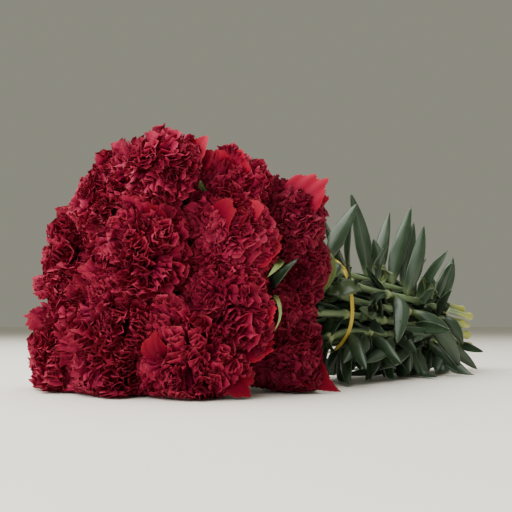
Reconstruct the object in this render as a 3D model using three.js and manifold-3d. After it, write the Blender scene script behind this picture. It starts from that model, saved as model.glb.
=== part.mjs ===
// A bunch of twenty carnations lying on a table, tied with one rubber band.
// Units are millimetres. +X runs from the flowers to the cut stem ends, +Z is up,
// and the origin is the middle of the bunch's bounding box, on the table.
import * as THREE from 'three';
import { mergeVertices } from 'three/addons/utils/BufferGeometryUtils.js';
import Module from 'manifold-3d';

const wasm = await Module();
wasm.setup();

// ---------------------------------------------------------------- driving dimensions

const GAP = 0.35; // air left between solids that touch
const ORIGIN = [230, 43.7]; // where the bounding box's middle lies in the bunch's working frame, X and Y

// One flower: a pressed dome of petals on a calyx.
const HEAD_RADIUS = 40;
const HEAD_FRONT = 30; // from the head's centre forwards to the top of the dome
const HEAD_BACK = 17; // from the head's centre back to the mouth of the calyx
const PETAL_LOBES = 8;
const LOBE_DEPTH = 0.05; // of the radius

// One stem with its calyx.
const CALYX_LENGTH = 32;
const CALYX_RADIUS = 8.2;
const STEM_RADIUS = 2.9;
const NODE_RADIUS = 4.4;
const NODE_SPACING = 68;
const STEM_SIDES = 6;

// The bundle of stems behind the flowers. Its middle line falls towards the cut ends.
const BAND_AT = 213;
const END_AT = 492;
const BAND_HEIGHT = 76;
const END_HEIGHT = 50;
const BUNDLE_WIDE = 24; // half the width that the stems' centres take at the band
const BUNDLE_HIGH = 38; // half the height there
const END_SQUEEZE = 0.72; // the stems stand this much closer at their cut ends

// The rubber band around the stems.
const BAND_HALF_WIDE = 40;
const BAND_HALF_HIGH = 47;
const BAND_THICK = 4;
const BAND_TILT = THREE.MathUtils.degToRad(-15);

// The way a flower faces follows its place: those at the side turn outwards.
const FACING_MIDDLE = { y: 45, z: 93 };
const TURN_PER_MM = THREE.MathUtils.degToRad(0.24);
const LIFT_PER_MM = THREE.MathUtils.degToRad(0.21);

// The flowers' centres, as [X, Y, Z]. They stand in five uneven columns of four, each listed
// from the table up: the middle three columns are the front tier, and the outer two are set back.
const COLUMNS = [
  [[113, -41, 23], [99, -35, 61], [112, -37, 104], [108, -36, 144]],
  [[31, -4, 27], [58, -18, 65], [62, -18, 122], [72, -6, 166]],
  [[4, 60, 24], [7, 48, 64], [11, 32, 116], [23, 31, 185]],
  [[-3, 128, 30], [1, 107, 75], [-3, 112, 116], [5, 80, 163]],
  [[82, 124, 30], [76, 120, 78], [78, 118, 124], [84, 64, 172]],
];

// The large outer leaves. stem: the column and row of the stem that the leaf grows from; along: the X
// of its root; out: the side on which it starts, in degrees from the top towards -Y; hang: the side
// that its tip reaches to; lean: the angle between the leaf and +X at the root; curl: how far that
// angle has changed at the tip.
const LEAVES = [
  { stem: [1, 3], along: 268, out: 0, hang: 355, length: 92, lean: 92, curl: 18, wide: 15 },
  { stem: [1, 3], along: 201, out: 21, hang: -2, length: 79, lean: 88, curl: -45, wide: 15 },
  { stem: [2, 3], along: 302, out: 0, hang: 352, length: 100, lean: 80, curl: -24, wide: 14 },
  { stem: [1, 3], along: 286, out: 20, hang: 14, length: 52, lean: 100, curl: 32, wide: 12 },
  { stem: [1, 3], along: 316, out: 5, hang: 4, length: 98, lean: 78, curl: -14, wide: 16 },
  { stem: [0, 3], along: 326, out: 30, hang: 5, length: 82, lean: 88, curl: -8, wide: 14 },
  { stem: [1, 3], along: 342, out: 10, hang: 8, length: 76, lean: 90, curl: -8, wide: 15 },
  { stem: [1, 3], along: 422, out: 7, hang: -3, length: 71, lean: 43, curl: 12, wide: 18 },
  { stem: [0, 3], along: 382, out: 29, hang: 61, length: 63, lean: 113, curl: 51, wide: 14 },
  { stem: [0, 3], along: 302, out: 100, hang: 177, length: 81, lean: 125, curl: -5, wide: 15 },
  { stem: [0, 2], along: 335, out: 102, hang: 182, length: 105, lean: 88, curl: -36, wide: 17 },
  { stem: [0, 2], along: 402, out: 91, hang: 171, length: 50, lean: 81, curl: -8, wide: 13 },
  { stem: [0, 0], along: 410, out: 125, hang: 160, length: 60, lean: 46, curl: -6, wide: 12 },
  { stem: [0, 0], along: 289, out: 124, hang: 157, length: 93, lean: 143, curl: 23, wide: 15 },
  { stem: [0, 0], along: 329, out: 137, hang: 157, length: 96, lean: 146, curl: 21, wide: 15 },
  { stem: [0, 1], along: 348, out: 100, hang: 150, length: 54, lean: 138, curl: 14, wide: 14 },
  { stem: [0, 0], along: 228, out: 133, hang: 155, length: 58, lean: 143, curl: 5, wide: 12 },
  { stem: [0, 3], along: 186, out: 80, hang: 168, length: 48, lean: 110, curl: 24, wide: 12 },
];
const LEAF_TWIST = THREE.MathUtils.degToRad(40); // the blades turn this far towards -X as they leave the stem
const LEAF_BEND_AT = 0.35; // of its length from the root
const LEAF_THICK = 0.9;
const LEAF_FOLD = 0.28; // how deep the leaf's channel is, as a share of its width
const LEAF_STEPS = 8;

// ---------------------------------------------------------------- materials

const paint = (color, roughness) => new THREE.MeshStandardMaterial({ color, roughness, metalness: 0 });
const petalRed = () => paint(0xa3101f, 0.7);
const stemGreen = () => paint(0x6f8a4a, 0.55);
const leafGreen = () => paint(0x3f5b45, 0.5);
const bandYellow = () => paint(0xc9a227, 0.6);

// ---------------------------------------------------------------- geometry helpers

/** The same surface with its positions merged and nothing else kept, so that it is one closed skin. */
function welded(geometry) {
  const skin = geometry.clone();
  skin.deleteAttribute('normal');
  skin.deleteAttribute('uv');
  return mergeVertices(skin, 1e-4);
}

/** Moves each vertex of a geometry to shape(x, y, z). */
function reshape(geometry, shape) {
  const position = geometry.attributes.position;
  for (let i = 0; i < position.count; i++) {
    const moved = shape(position.getX(i), position.getY(i), position.getZ(i));
    position.setXYZ(i, moved.x, moved.y, moved.z);
  }
  return geometry;
}

function solidOf(geometry) {
  const skin = welded(geometry);
  return new wasm.Manifold(new wasm.Mesh({
    numProp: 3,
    vertProperties: Float32Array.from(skin.attributes.position.array),
    triVerts: Uint32Array.from(skin.index.array),
  }));
}

function geometryOf(solid) {
  const mesh = solid.getMesh();
  const geometry = new THREE.BufferGeometry();
  geometry.setAttribute('position', new THREE.BufferAttribute(mesh.vertProperties, 3));
  geometry.setIndex(new THREE.BufferAttribute(mesh.triVerts, 1));
  geometry.computeVertexNormals();
  return geometry;
}

/** A big block that starts at `point` and lies along `direction`. */
function halfSpace(point, direction) {
  const size = 6 * HEAD_RADIUS;
  const block = new THREE.BoxGeometry(size, size, size).translate(0, 0, size / 2);
  const turn = new THREE.Quaternion().setFromUnitVectors(new THREE.Vector3(0, 0, 1), direction);
  return solidOf(block.applyQuaternion(turn).translate(point.x, point.y, point.z));
}

// ---------------------------------------------------------------- where things are

/** The middle line of the bundle of stems at X = along. */
function bundleAxis(along) {
  const share = (along - BAND_AT) / (END_AT - BAND_AT);
  return new THREE.Vector3(along, 0, THREE.MathUtils.lerp(BAND_HEIGHT, END_HEIGHT, share));
}

/** How far the bundle has closed up at X = along: 1 at the band, END_SQUEEZE at the cut ends. */
function squeeze(along) {
  return THREE.MathUtils.lerp(1, END_SQUEEZE, (along - BAND_AT) / (END_AT - BAND_AT));
}

/** The place of one stem in the bundle. The grid of stems is rounded into an oval. */
function slot(column, row, along) {
  const a = (column - 2) / 2;
  const stagger = column % 2 ? 0.06 : -0.06;
  const b = (row - 1.5) / 1.6 + stagger;
  const y = a * BUNDLE_WIDE * squeeze(along);
  const z = b * Math.sqrt(1 - (a * a) / 2) * BUNDLE_HIGH * squeeze(along);
  return bundleAxis(along).add(new THREE.Vector3(0, y, z));
}

/** The way that the flower at `centre` faces. */
function facing(centre) {
  const turn = (centre.y - FACING_MIDDLE.y) * TURN_PER_MM;
  const lift = (centre.z - FACING_MIDDLE.z) * LIFT_PER_MM;
  return new THREE.Vector3(
    -Math.cos(turn) * Math.cos(lift),
    Math.sin(turn) * Math.cos(lift),
    Math.sin(lift),
  );
}

const flowers = COLUMNS.flatMap((column, c) => column.map((place, r) => {
  const centre = new THREE.Vector3(...place);
  return { centre, face: facing(centre), column: c, row: r };
}));

// ---------------------------------------------------------------- stems

/** The line that a stem follows from the mouth of its calyx to its cut end. */
function stemLine({ centre, face, column, row }) {
  const behind = (distance) => centre.clone().addScaledVector(face, -distance);
  return new THREE.CatmullRomCurve3([
    behind(HEAD_BACK + GAP),
    behind(HEAD_BACK + CALYX_LENGTH),
    slot(column, row, BAND_AT),
    slot(column, row, (BAND_AT + END_AT) / 2),
    slot(column, row, END_AT),
  ], false, 'centripetal');
}

/** Radius against distance along the stem: calyx, bracts, then a swelling at each leaf node. */
function stemProfile(length, extra, firstNode) {
  const points = [[0, 0], [CALYX_RADIUS, 0], [CALYX_RADIUS - 0.4, 14], [6.9, 26], [5.6, CALYX_LENGTH],
    [STEM_RADIUS, CALYX_LENGTH + 5]];
  for (let at = CALYX_LENGTH + firstNode; at < length - 12; at += NODE_SPACING) {
    points.push([STEM_RADIUS, at - 6], [NODE_RADIUS, at], [STEM_RADIUS, at + 5]);
    points.push([STEM_RADIUS, Math.min(at + NODE_SPACING / 2, length - 6)]);
  }
  points.push([STEM_RADIUS, length], [0, length]);
  return points.map(([r, s]) => new THREE.Vector2(r === 0 ? 0 : r + extra, s));
}

/** A stem with its calyx, `extra` thicker all round. The straight turned shape is bent along its line. */
function stemGeometry(flower, extra = 0) {
  const line = stemLine(flower);
  const length = line.getLength();
  const steps = 240;
  const frames = line.computeFrenetFrames(steps, false);
  const firstNode = 30 + 12 * ((flower.column * 2 + flower.row * 3) % 5);
  const straight = new THREE.LatheGeometry(stemProfile(length, extra, firstNode), STEM_SIDES);
  return reshape(welded(straight), (x, s, z) => {
    const u = THREE.MathUtils.clamp(s / length, 0, 1);
    const i = Math.round(u * steps);
    return line.getPointAt(u).addScaledVector(frames.binormals[i], x).addScaledVector(frames.normals[i], z);
  });
}

// ---------------------------------------------------------------- petals

/** One dome of petals before it is pressed against its neighbours. */
function domeGeometry({ centre, face }) {
  const outline = [[0, -HEAD_BACK], [9, -HEAD_BACK], [27, -HEAD_BACK], [35, -11], [HEAD_RADIUS, -2],
    [35, 9], [27, 19], [15, 26.5], [0, HEAD_FRONT]];
  const turned = new THREE.LatheGeometry(outline.map(([r, s]) => new THREE.Vector2(r, s)), 2 * PETAL_LOBES);
  reshape(turned, (x, s, z) => {
    const lobe = 1 + LOBE_DEPTH * Math.cos(PETAL_LOBES * Math.atan2(z, x));
    return new THREE.Vector3(x * lobe, s, z * lobe);
  });
  const turn = new THREE.Quaternion().setFromUnitVectors(new THREE.Vector3(0, 1, 0), face);
  return turned.applyQuaternion(turn).translate(centre.x, centre.y, centre.z);
}

/** The pressed petals: flat on the table, flat against each neighbour, and clear of every stem. */
function corollaGeometry(flower, stems) {
  let petals = solidOf(domeGeometry(flower));
  petals = petals.subtract(halfSpace(new THREE.Vector3(flower.centre.x, flower.centre.y, 0),
    new THREE.Vector3(0, 0, -1)));
  for (const other of flowers) {
    const apart = other.centre.distanceTo(flower.centre);
    if (other === flower || apart > 2.1 * HEAD_RADIUS) continue;
    const towards = other.centre.clone().sub(flower.centre).divideScalar(apart);
    const meeting = flower.centre.clone().addScaledVector(towards, (apart - GAP) / 2);
    petals = petals.subtract(halfSpace(meeting, towards));
  }
  for (const stem of stems) petals = petals.subtract(stem);
  return geometryOf(petals);
}

// ---------------------------------------------------------------- leaves

/** The point of a stem's line at X = along. */
function onStem([column, row], along) {
  const line = stemLine(flowers[column * COLUMNS[0].length + row]);
  let [low, high] = [0, 1];
  for (let i = 0; i < 24; i++) {
    const middle = (low + high) / 2;
    if (line.getPointAt(middle).x < along) low = middle;
    else high = middle;
  }
  return line.getPointAt(low);
}

function leafGeometry({ stem, along, out, hang, length, lean, curl, wide }) {
  const side = (degrees) => {
    const angle = THREE.MathUtils.degToRad(degrees);
    return new THREE.Vector3(0, -Math.sin(angle), Math.cos(angle));
  };
  const reach = (sideways, degrees) => {
    const angle = THREE.MathUtils.degToRad(degrees);
    return side(sideways).multiplyScalar(Math.sin(angle)).add(new THREE.Vector3(Math.cos(angle), 0, 0));
  };
  const base = onStem(stem, along).addScaledVector(side(out), NODE_RADIUS + LEAF_THICK);
  const middle = base.clone().addScaledVector(reach(out, lean), length * LEAF_BEND_AT);
  const tip = middle.clone().addScaledVector(reach(hang, lean + curl), length * (1 - LEAF_BEND_AT));
  const line = new THREE.QuadraticBezierCurve3(base, middle, tip);

  const across = new THREE.Vector3().crossVectors(side(hang), new THREE.Vector3(1, 0, 0)).normalize();
  const twist = new THREE.Quaternion().setFromAxisAngle(reach(hang, lean), LEAF_TWIST * side(hang).z);
  across.applyQuaternion(twist);
  const blade = new THREE.BoxGeometry(1, 2, LEAF_THICK, LEAF_STEPS, 2, 1);
  return reshape(welded(blade), (x, v, z) => {
    const u = x + 0.5;
    const half = (wide / 2) * Math.max(0.1, Math.sin(Math.PI * Math.pow(u, 0.6) * 0.96 + 0.1));
    const outwards = new THREE.Vector3().crossVectors(line.getTangent(u), across).normalize();
    const lift = z + Math.abs(v) * half * LEAF_FOLD * 2;
    return line.getPoint(u).addScaledVector(across, v * half).addScaledVector(outwards, lift);
  });
}

// ---------------------------------------------------------------- the rubber band

/** A round ring, stretched upright into the oval that the stems push it into. */
function bandGeometry() {
  const centre = bundleAxis(BAND_AT);
  const ring = new THREE.TorusGeometry(BAND_HALF_WIDE, BAND_THICK / 2, 6, 36);
  reshape(ring, (x, y, z) => {
    const around = Math.atan2(y, x);
    const stretch = (BAND_HALF_HIGH - BAND_HALF_WIDE) * Math.sin(around);
    return new THREE.Vector3(z, x, y + stretch);
  });
  return welded(ring).rotateZ(BAND_TILT).translate(centre.x, centre.y, centre.z);
}

// ---------------------------------------------------------------- the bunch

const bunch = new THREE.Group();
bunch.position.set(-ORIGIN[0], -ORIGIN[1], 0);

function place(name, geometry, material) {
  const mesh = new THREE.Mesh(geometry, material);
  mesh.name = name;
  bunch.add(mesh);
}

const number = (i) => String(i + 1).padStart(2, '0');
const clearances = flowers.map((flower) => solidOf(stemGeometry(flower, GAP)));

flowers.forEach((flower, i) => {
  const otherStems = clearances.filter((_, j) => j !== i);
  place(`corolla_${number(i)}`, corollaGeometry(flower, otherStems), petalRed());
  place(`stem_${number(i)}`, stemGeometry(flower), stemGreen());
});
LEAVES.forEach((leaf, i) => place(`leaf_${number(i)}`, leafGeometry(leaf), leafGreen()));
place('rubber_band', bandGeometry(), bandYellow());

export default bunch;
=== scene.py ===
# %% [markdown]
# # A bunch of carnations
# Twenty red carnations lie on a table, tied with one rubber band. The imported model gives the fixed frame:
# its solids say where each flower, stem, large leaf and the band are, and this script grows the fine shapes
# around them. Blender counts in metres; the lists below are in millimetres and are multiplied by MM. +X
# runs from the flowers to the cut ends and +Z is up.

import math

import bpy
import numpy as np
from mathutils import Matrix, Quaternion, Vector


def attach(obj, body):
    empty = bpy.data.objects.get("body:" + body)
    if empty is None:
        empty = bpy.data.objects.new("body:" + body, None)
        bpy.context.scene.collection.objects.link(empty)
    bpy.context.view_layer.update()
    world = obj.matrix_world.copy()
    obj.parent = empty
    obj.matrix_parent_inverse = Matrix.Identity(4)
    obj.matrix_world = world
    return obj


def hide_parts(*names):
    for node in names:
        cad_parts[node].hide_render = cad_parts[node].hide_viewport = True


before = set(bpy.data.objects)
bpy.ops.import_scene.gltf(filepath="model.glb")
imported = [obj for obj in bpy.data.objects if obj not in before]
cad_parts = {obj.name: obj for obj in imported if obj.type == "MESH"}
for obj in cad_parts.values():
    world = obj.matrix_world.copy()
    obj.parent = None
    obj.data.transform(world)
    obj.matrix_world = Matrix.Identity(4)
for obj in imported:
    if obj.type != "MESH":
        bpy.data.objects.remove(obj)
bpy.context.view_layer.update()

MM = 0.001
scene = bpy.context.scene

# %% [markdown]
# ## The camera
# The picture is taken from low down, 5.5 cm above the table and half a metre from the nearest flower,
# across the bunch's corner, so that the flowers' faces and the side of the stems both show. The camera
# looks up a little. Its place is measured in the same frame as the bunch, so it is made before anything
# else.

# %% Camera
CAMERA_PLACE = Vector((-0.5354, -0.4393, 0.0547))
CAMERA_AZIMUTH = math.radians(-46.5)  # 0 would look along +Y
CAMERA_LIFT = math.radians(6.16)
CAMERA_LENS = 45.7  # on a 36 mm sensor

camera = bpy.data.objects.new("camera", bpy.data.cameras.new("camera"))
scene.collection.objects.link(camera)
camera.location = CAMERA_PLACE
camera.rotation_euler = (math.pi / 2 + CAMERA_LIFT, 0, CAMERA_AZIMUTH)
camera.data.lens = CAMERA_LENS
camera.data.sensor_width = 36
scene.camera = camera
print("the camera is turned by", tuple(round(math.degrees(turn), 1) for turn in camera.rotation_euler))

# %% [markdown]
# ## The table
# A pale, plain table carries the bunch. It is one large face. Its material is made by a short function,
# because every material here sets the same few numbers on its shader and differs only in its colours.

# %% Table
def new_material(name, roughness, specular, sheen=0.0, sheen_tint=(1, 1, 1), sheen_roughness=0.5):
    """A material whose single numbers are set on its shader; the caller gives it its colour."""
    material = bpy.data.materials.new(name)
    material.use_nodes = True
    shader = material.node_tree.nodes["Principled BSDF"]
    shader.inputs["Roughness"].default_value = roughness
    shader.inputs["Specular IOR Level"].default_value = specular
    shader.inputs["Sheen Weight"].default_value = sheen
    shader.inputs["Sheen Tint"].default_value = (*sheen_tint, 1)
    shader.inputs["Sheen Roughness"].default_value = sheen_roughness
    return material, material.node_tree, shader


def mesh_object(name, points, faces):
    mesh = bpy.data.meshes.new(name)
    mesh.from_pydata([tuple(p) for p in points], [], faces)
    mesh.update()
    piece = bpy.data.objects.new(name, mesh)
    scene.collection.objects.link(piece)
    return piece


FLOOR_HALF = 40.0  # so large that its edge is the horizon
FLOOR_CORNERS = [(x * FLOOR_HALF, y * FLOOR_HALF, 0) for x, y in ((-1, -1), (1, -1), (1, 1), (-1, 1))]
floor = mesh_object("table_top", FLOOR_CORNERS, [(0, 1, 2, 3)])
pale_table, _, table_shader = new_material("pale table", 0.5, 0.5)
table_shader.inputs["Base Color"].default_value = (0.89, 0.85, 0.77, 1)
floor.data.materials.append(pale_table)
print("the table is", 2 * FLOOR_HALF, "m wide")

# %% [markdown]
# ## The light
# A wide ceiling lamp gives the even light of a room, and a large soft lamp high on the left is stronger on
# one side, so the flowers' left sides are bright and the set-back flowers at the right lie in shade. A
# weak lamp behind the camera and the room's warm grey all round keep the shade from going black.

# %% Light
def soft_lamp(name, place, aim, size, power, color):
    lamp = bpy.data.objects.new(name, bpy.data.lights.new(name, "AREA"))
    lamp.data.size = size
    lamp.data.energy = power
    lamp.data.color = color
    lamp.location = place
    lamp.rotation_euler = (Vector(place) - Vector(aim)).to_track_quat("Z", "Y").to_euler()
    scene.collection.objects.link(lamp)


soft_lamp("key", (-1.2, 0.75, 1.35), (-0.15, 0, 0.1), 1.8, 42, (1.0, 0.98, 0.95))
soft_lamp("ceiling", (-0.25, 0.25, 2.0), (0, 0, 0), 2.6, 90, (1.0, 0.98, 0.95))
soft_lamp("fill", (-1.6, -0.5, 0.6), (-0.1, 0, 0.1), 1.2, 14, (0.97, 0.98, 1.0))

world = bpy.data.worlds.new("room")
world.use_nodes = True
room = world.node_tree.nodes["Background"]
room.inputs["Color"].default_value = (0.345, 0.34, 0.275, 1)
room.inputs["Strength"].default_value = 0.8
scene.world = world
print("lamps:", len(bpy.data.lights))

# %% [markdown]
# ## Where the flowers are
# The flowers stand in five uneven columns of four, each from the table up. A list of twenty centres and
# two rules are enough to plan them: which way a flower faces, and how its stem runs through the bundle.
# They are the ones that the solids were made with, so what is grown here lands on the solids. Only the
# stems are drawn a third of a millimetre thicker than theirs. The plan counts in millimetres from a point
# of its own, and ORIGIN is where the frame's origin lies in it.

# %% The plan of the bunch
ORIGIN = Vector((230, 43.7, 0)) * MM
HEAD_RADIUS = 40 * MM
HEAD_BACK = 17 * MM  # from a head's centre back to the mouth of its calyx
CALYX_LENGTH = 32 * MM
STEM_RADIUS = 3.25 * MM
NODE_RADIUS = 4.7 * MM  # of a stem's swollen joint
BAND_AT, END_AT = 213 * MM, 492 * MM  # along +X: the rubber band, and the cut ends
BAND_HEIGHT, END_HEIGHT = 76 * MM, 50 * MM  # of the bundle's middle above the table, at these places
BUNDLE_WIDE, BUNDLE_HIGH, END_SQUEEZE = 24 * MM, 38 * MM, 0.72  # its half sizes, and how it narrows

COLUMNS = [  # the centres of the heads in mm, from the right of the picture round to its far side
    [(113, -41, 23), (99, -35, 61), (112, -37, 104), (108, -36, 144)],
    [(31, -4, 27), (58, -18, 65), (62, -18, 122), (72, -6, 166)],
    [(4, 60, 24), (7, 48, 64), (11, 32, 116), (23, 31, 185)],
    [(-3, 128, 30), (1, 107, 75), (-3, 112, 116), (5, 80, 163)],
    [(82, 124, 30), (76, 120, 78), (78, 118, 124), (84, 64, 172)],
]
FACING_MIDDLE = Vector((0, 45, 93)) * MM  # a head here would face straight along -X
TURN_PER_METRE = math.radians(240)
LIFT_PER_METRE = math.radians(210)


def facing(centre):
    """The heads fan out: the further a head lies from the middle, the more it turns outwards."""
    turn = (centre.y - FACING_MIDDLE.y) * TURN_PER_METRE
    lift = (centre.z - FACING_MIDDLE.z) * LIFT_PER_METRE
    return Vector((-math.cos(turn) * math.cos(lift), math.sin(turn) * math.cos(lift), math.sin(lift)))


flowers = []
for column, places in enumerate(COLUMNS):
    for row, place in enumerate(places):
        centre = Vector(place) * MM
        flowers.append({"number": len(flowers) + 1, "column": column, "row": row,
                        "centre": centre, "face": facing(centre)})
print("flowers:", len(flowers))

# %% [markdown]
# ## Formulas that become nodes
# A petal's shape follows a rule, so it is made with Geometry Nodes. Long rules are hard to read as nodes,
# so a small class lets a rule be written as a formula: each operator adds one Math node to the tree.

# %% Field, a socket that can stand in a formula
class Field:
    """A socket of a node tree. a + b, a * b and so on add the node that works it out."""

    def __init__(self, tree, socket):
        self.tree = tree
        self.socket = socket

    def op(self, operation, *others):
        made = self.tree.nodes.new("ShaderNodeMath")
        made.operation = operation
        for slot, value in zip(made.inputs, (self, *others)):
            feed(self.tree, slot, value)
        return Field(self.tree, made.outputs[0])

    def __add__(self, other):
        return self.op("ADD", other)

    def __radd__(self, other):
        return self.op("ADD", other)

    def __sub__(self, other):
        return self.op("SUBTRACT", other)

    def __rsub__(self, other):
        return (-self).op("ADD", other)

    def __mul__(self, other):
        return self.op("MULTIPLY", other)

    def __truediv__(self, other):
        return self.op("DIVIDE", other)

    def __pow__(self, other):
        return self.op("POWER", other)

    def __mod__(self, other):
        return self.op("MODULO", other)

    def __neg__(self):
        return self.op("MULTIPLY", -1.0)


def feed(tree, slot, value):
    """Links a field to an input, or sets a plain value on it."""
    if isinstance(value, Field):
        tree.links.new(value.socket, slot)
    else:
        slot.default_value = value


def sin(x):
    return x.op("SINE")


def cos(x):
    return x.op("COSINE")


def between(low, high, share):
    """From low, where share is 0, to high, where it is 1."""
    return (share * (high - low)) + low


def add_node(tree, kind, values=None, output=0, **settings):
    """Adds a node, sets its properties and feeds its inputs, and returns one of its outputs."""
    made = tree.nodes.new(kind)
    for name, value in settings.items():
        setattr(made, name, value)
    for name, value in (values or {}).items():
        feed(tree, made.inputs[name], value)
    return Field(tree, made.outputs[output])


def join_xyz(tree, x, y, z):
    return add_node(tree, "ShaderNodeCombineXYZ", {"X": x, "Y": y, "Z": z})


def vector_math(operation, *inputs, output=0):
    """One Vector Math node; its first input is a field."""
    return add_node(inputs[0].tree, "ShaderNodeVectorMath", dict(enumerate(inputs)), output,
                    operation=operation)


def scaled(vector, amount):
    return add_node(vector.tree, "ShaderNodeVectorMath", {"Vector": vector, "Scale": amount},
                    operation="SCALE")


def summed(first, *others):
    for other in others:
        first = vector_math("ADD", first, other)
    return first


# %% [markdown]
# ## What every tree shares
# Four things of this bunch grow from trees of nodes: petals, stalks, calyces and leaves. Each tree has
# named inputs for its sizes, so that one tree serves every flower, and each ends in the same three nodes.
# A value that a material needs later, such as how near a point is to a joint, is kept under a name.

# %% Trees with named sizes
def new_tree(name, sizes):
    """An empty tree with named inputs for its sizes and its material. A size is a whole number or a float."""
    tree = bpy.data.node_groups.new(name, "GeometryNodeTree")
    tree.is_modifier = True
    tree.interface.new_socket("Geometry", in_out="INPUT", socket_type="NodeSocketGeometry")
    for label, value in sizes.items():
        kind = "NodeSocketInt" if isinstance(value, int) else "NodeSocketFloat"
        tree.interface.new_socket(label, in_out="INPUT", socket_type=kind).default_value = value
    tree.interface.new_socket("Material", in_out="INPUT", socket_type="NodeSocketMaterial")
    tree.interface.new_socket("Geometry", in_out="OUTPUT", socket_type="NodeSocketGeometry")
    entry = tree.nodes.new("NodeGroupInput")
    return tree, {label: Field(tree, entry.outputs[label]) for label in ("Geometry", *sizes, "Material")}


def end_tree(tree, geometry, material):
    """Realized, smooth, with its material: the end of each tree."""
    real = add_node(tree, "GeometryNodeRealizeInstances", {"Geometry": geometry})
    smooth = add_node(tree, "GeometryNodeSetShadeSmooth", {"Geometry": real})
    painted = add_node(tree, "GeometryNodeSetMaterial", {"Geometry": smooth, "Material": material})
    leave = tree.nodes.new("NodeGroupOutput")
    tree.links.new(painted.socket, leave.inputs["Geometry"])


def stored(tree, geometry, name, value, kind="FLOAT", domain="POINT"):
    """Keeps a value on the geometry, under a name."""
    return add_node(tree, "GeometryNodeStoreNamedAttribute",
                    {"Geometry": geometry, "Name": name, "Value": value}, data_type=kind, domain=domain)


def named(tree, name, kind="FLOAT"):
    """Reads what was kept under a name."""
    return add_node(tree, "GeometryNodeInputNamedAttribute", {"Name": name}, data_type=kind)


def with_map(tree, geometry, across, along):
    """Stores a UV map. The fields count vertices, so they are kept on the vertices first."""
    kept = stored(tree, geometry, "blade", join_xyz(tree, across, along, 0.0), "FLOAT_VECTOR")
    return stored(tree, kept, "UVMap", named(tree, "blade", "FLOAT_VECTOR"), "FLOAT2", "CORNER")


def map_range(tree, value, low, high, smooth=False):
    """0 where the value is low, 1 where it is high, and never past either."""
    return add_node(tree, "ShaderNodeMapRange", {"Value": value, "From Min": low, "From Max": high},
                    interpolation_type="SMOOTHSTEP" if smooth else "LINEAR")


def copies(tree, shape, count):
    """A shape repeated in a row; the tree then gives each copy's vertices their own place."""
    ranks = add_node(tree, "GeometryNodeMeshLine", {"Count": count})
    return add_node(tree, "GeometryNodeInstanceOnPoints", {"Points": ranks, "Instance": shape})


# %% [markdown]
# ## One carnation's petals
# A full carnation has about fifty petals; eighty narrower ones give the same fullness here, because each
# is a single fan. A petal has a narrow claw inside the calyx and a blade with a toothed, ruffled margin.
# The outer petals lie back almost flat and are broad and smooth, and the inner ones stand up and are
# crumpled together. The tree makes one flat grid, repeats it once per petal, and moves each vertex to its
# place on the blade: a ray from the calyx's mouth, leaning further the further out the petal is, the
# fan's width across it, and the ruffles, which double near the margin as they do in a real petal, where
# the edge has grown longer than the blade can hold.

# %% The tree of the petals
PETAL_SIZES = {
    "Petals": 80,
    "Columns": 65,
    "Rows": 8,
    "Reach": 50 * MM,
    "Outer Lean": 1.7,
    "Fan": 0.38,
    "Fold": 4.6 * MM,
    "Ruffle": 2.6 * MM,
    "Tooth": 0.5 * MM,
    "Crumple": 12 * MM,
    "Seed": 0,
}
GOLDEN_ANGLE = math.pi * (3 - math.sqrt(5))  # from one petal to the next, as flowers set them
MARGIN_CROWD, BLADE_SHARE = 1.7, 0.93  # the rows crowd at the margin, and begin a little above the claw
CREASE_SCALE, CREASE_DETAIL = 140, 2


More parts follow.
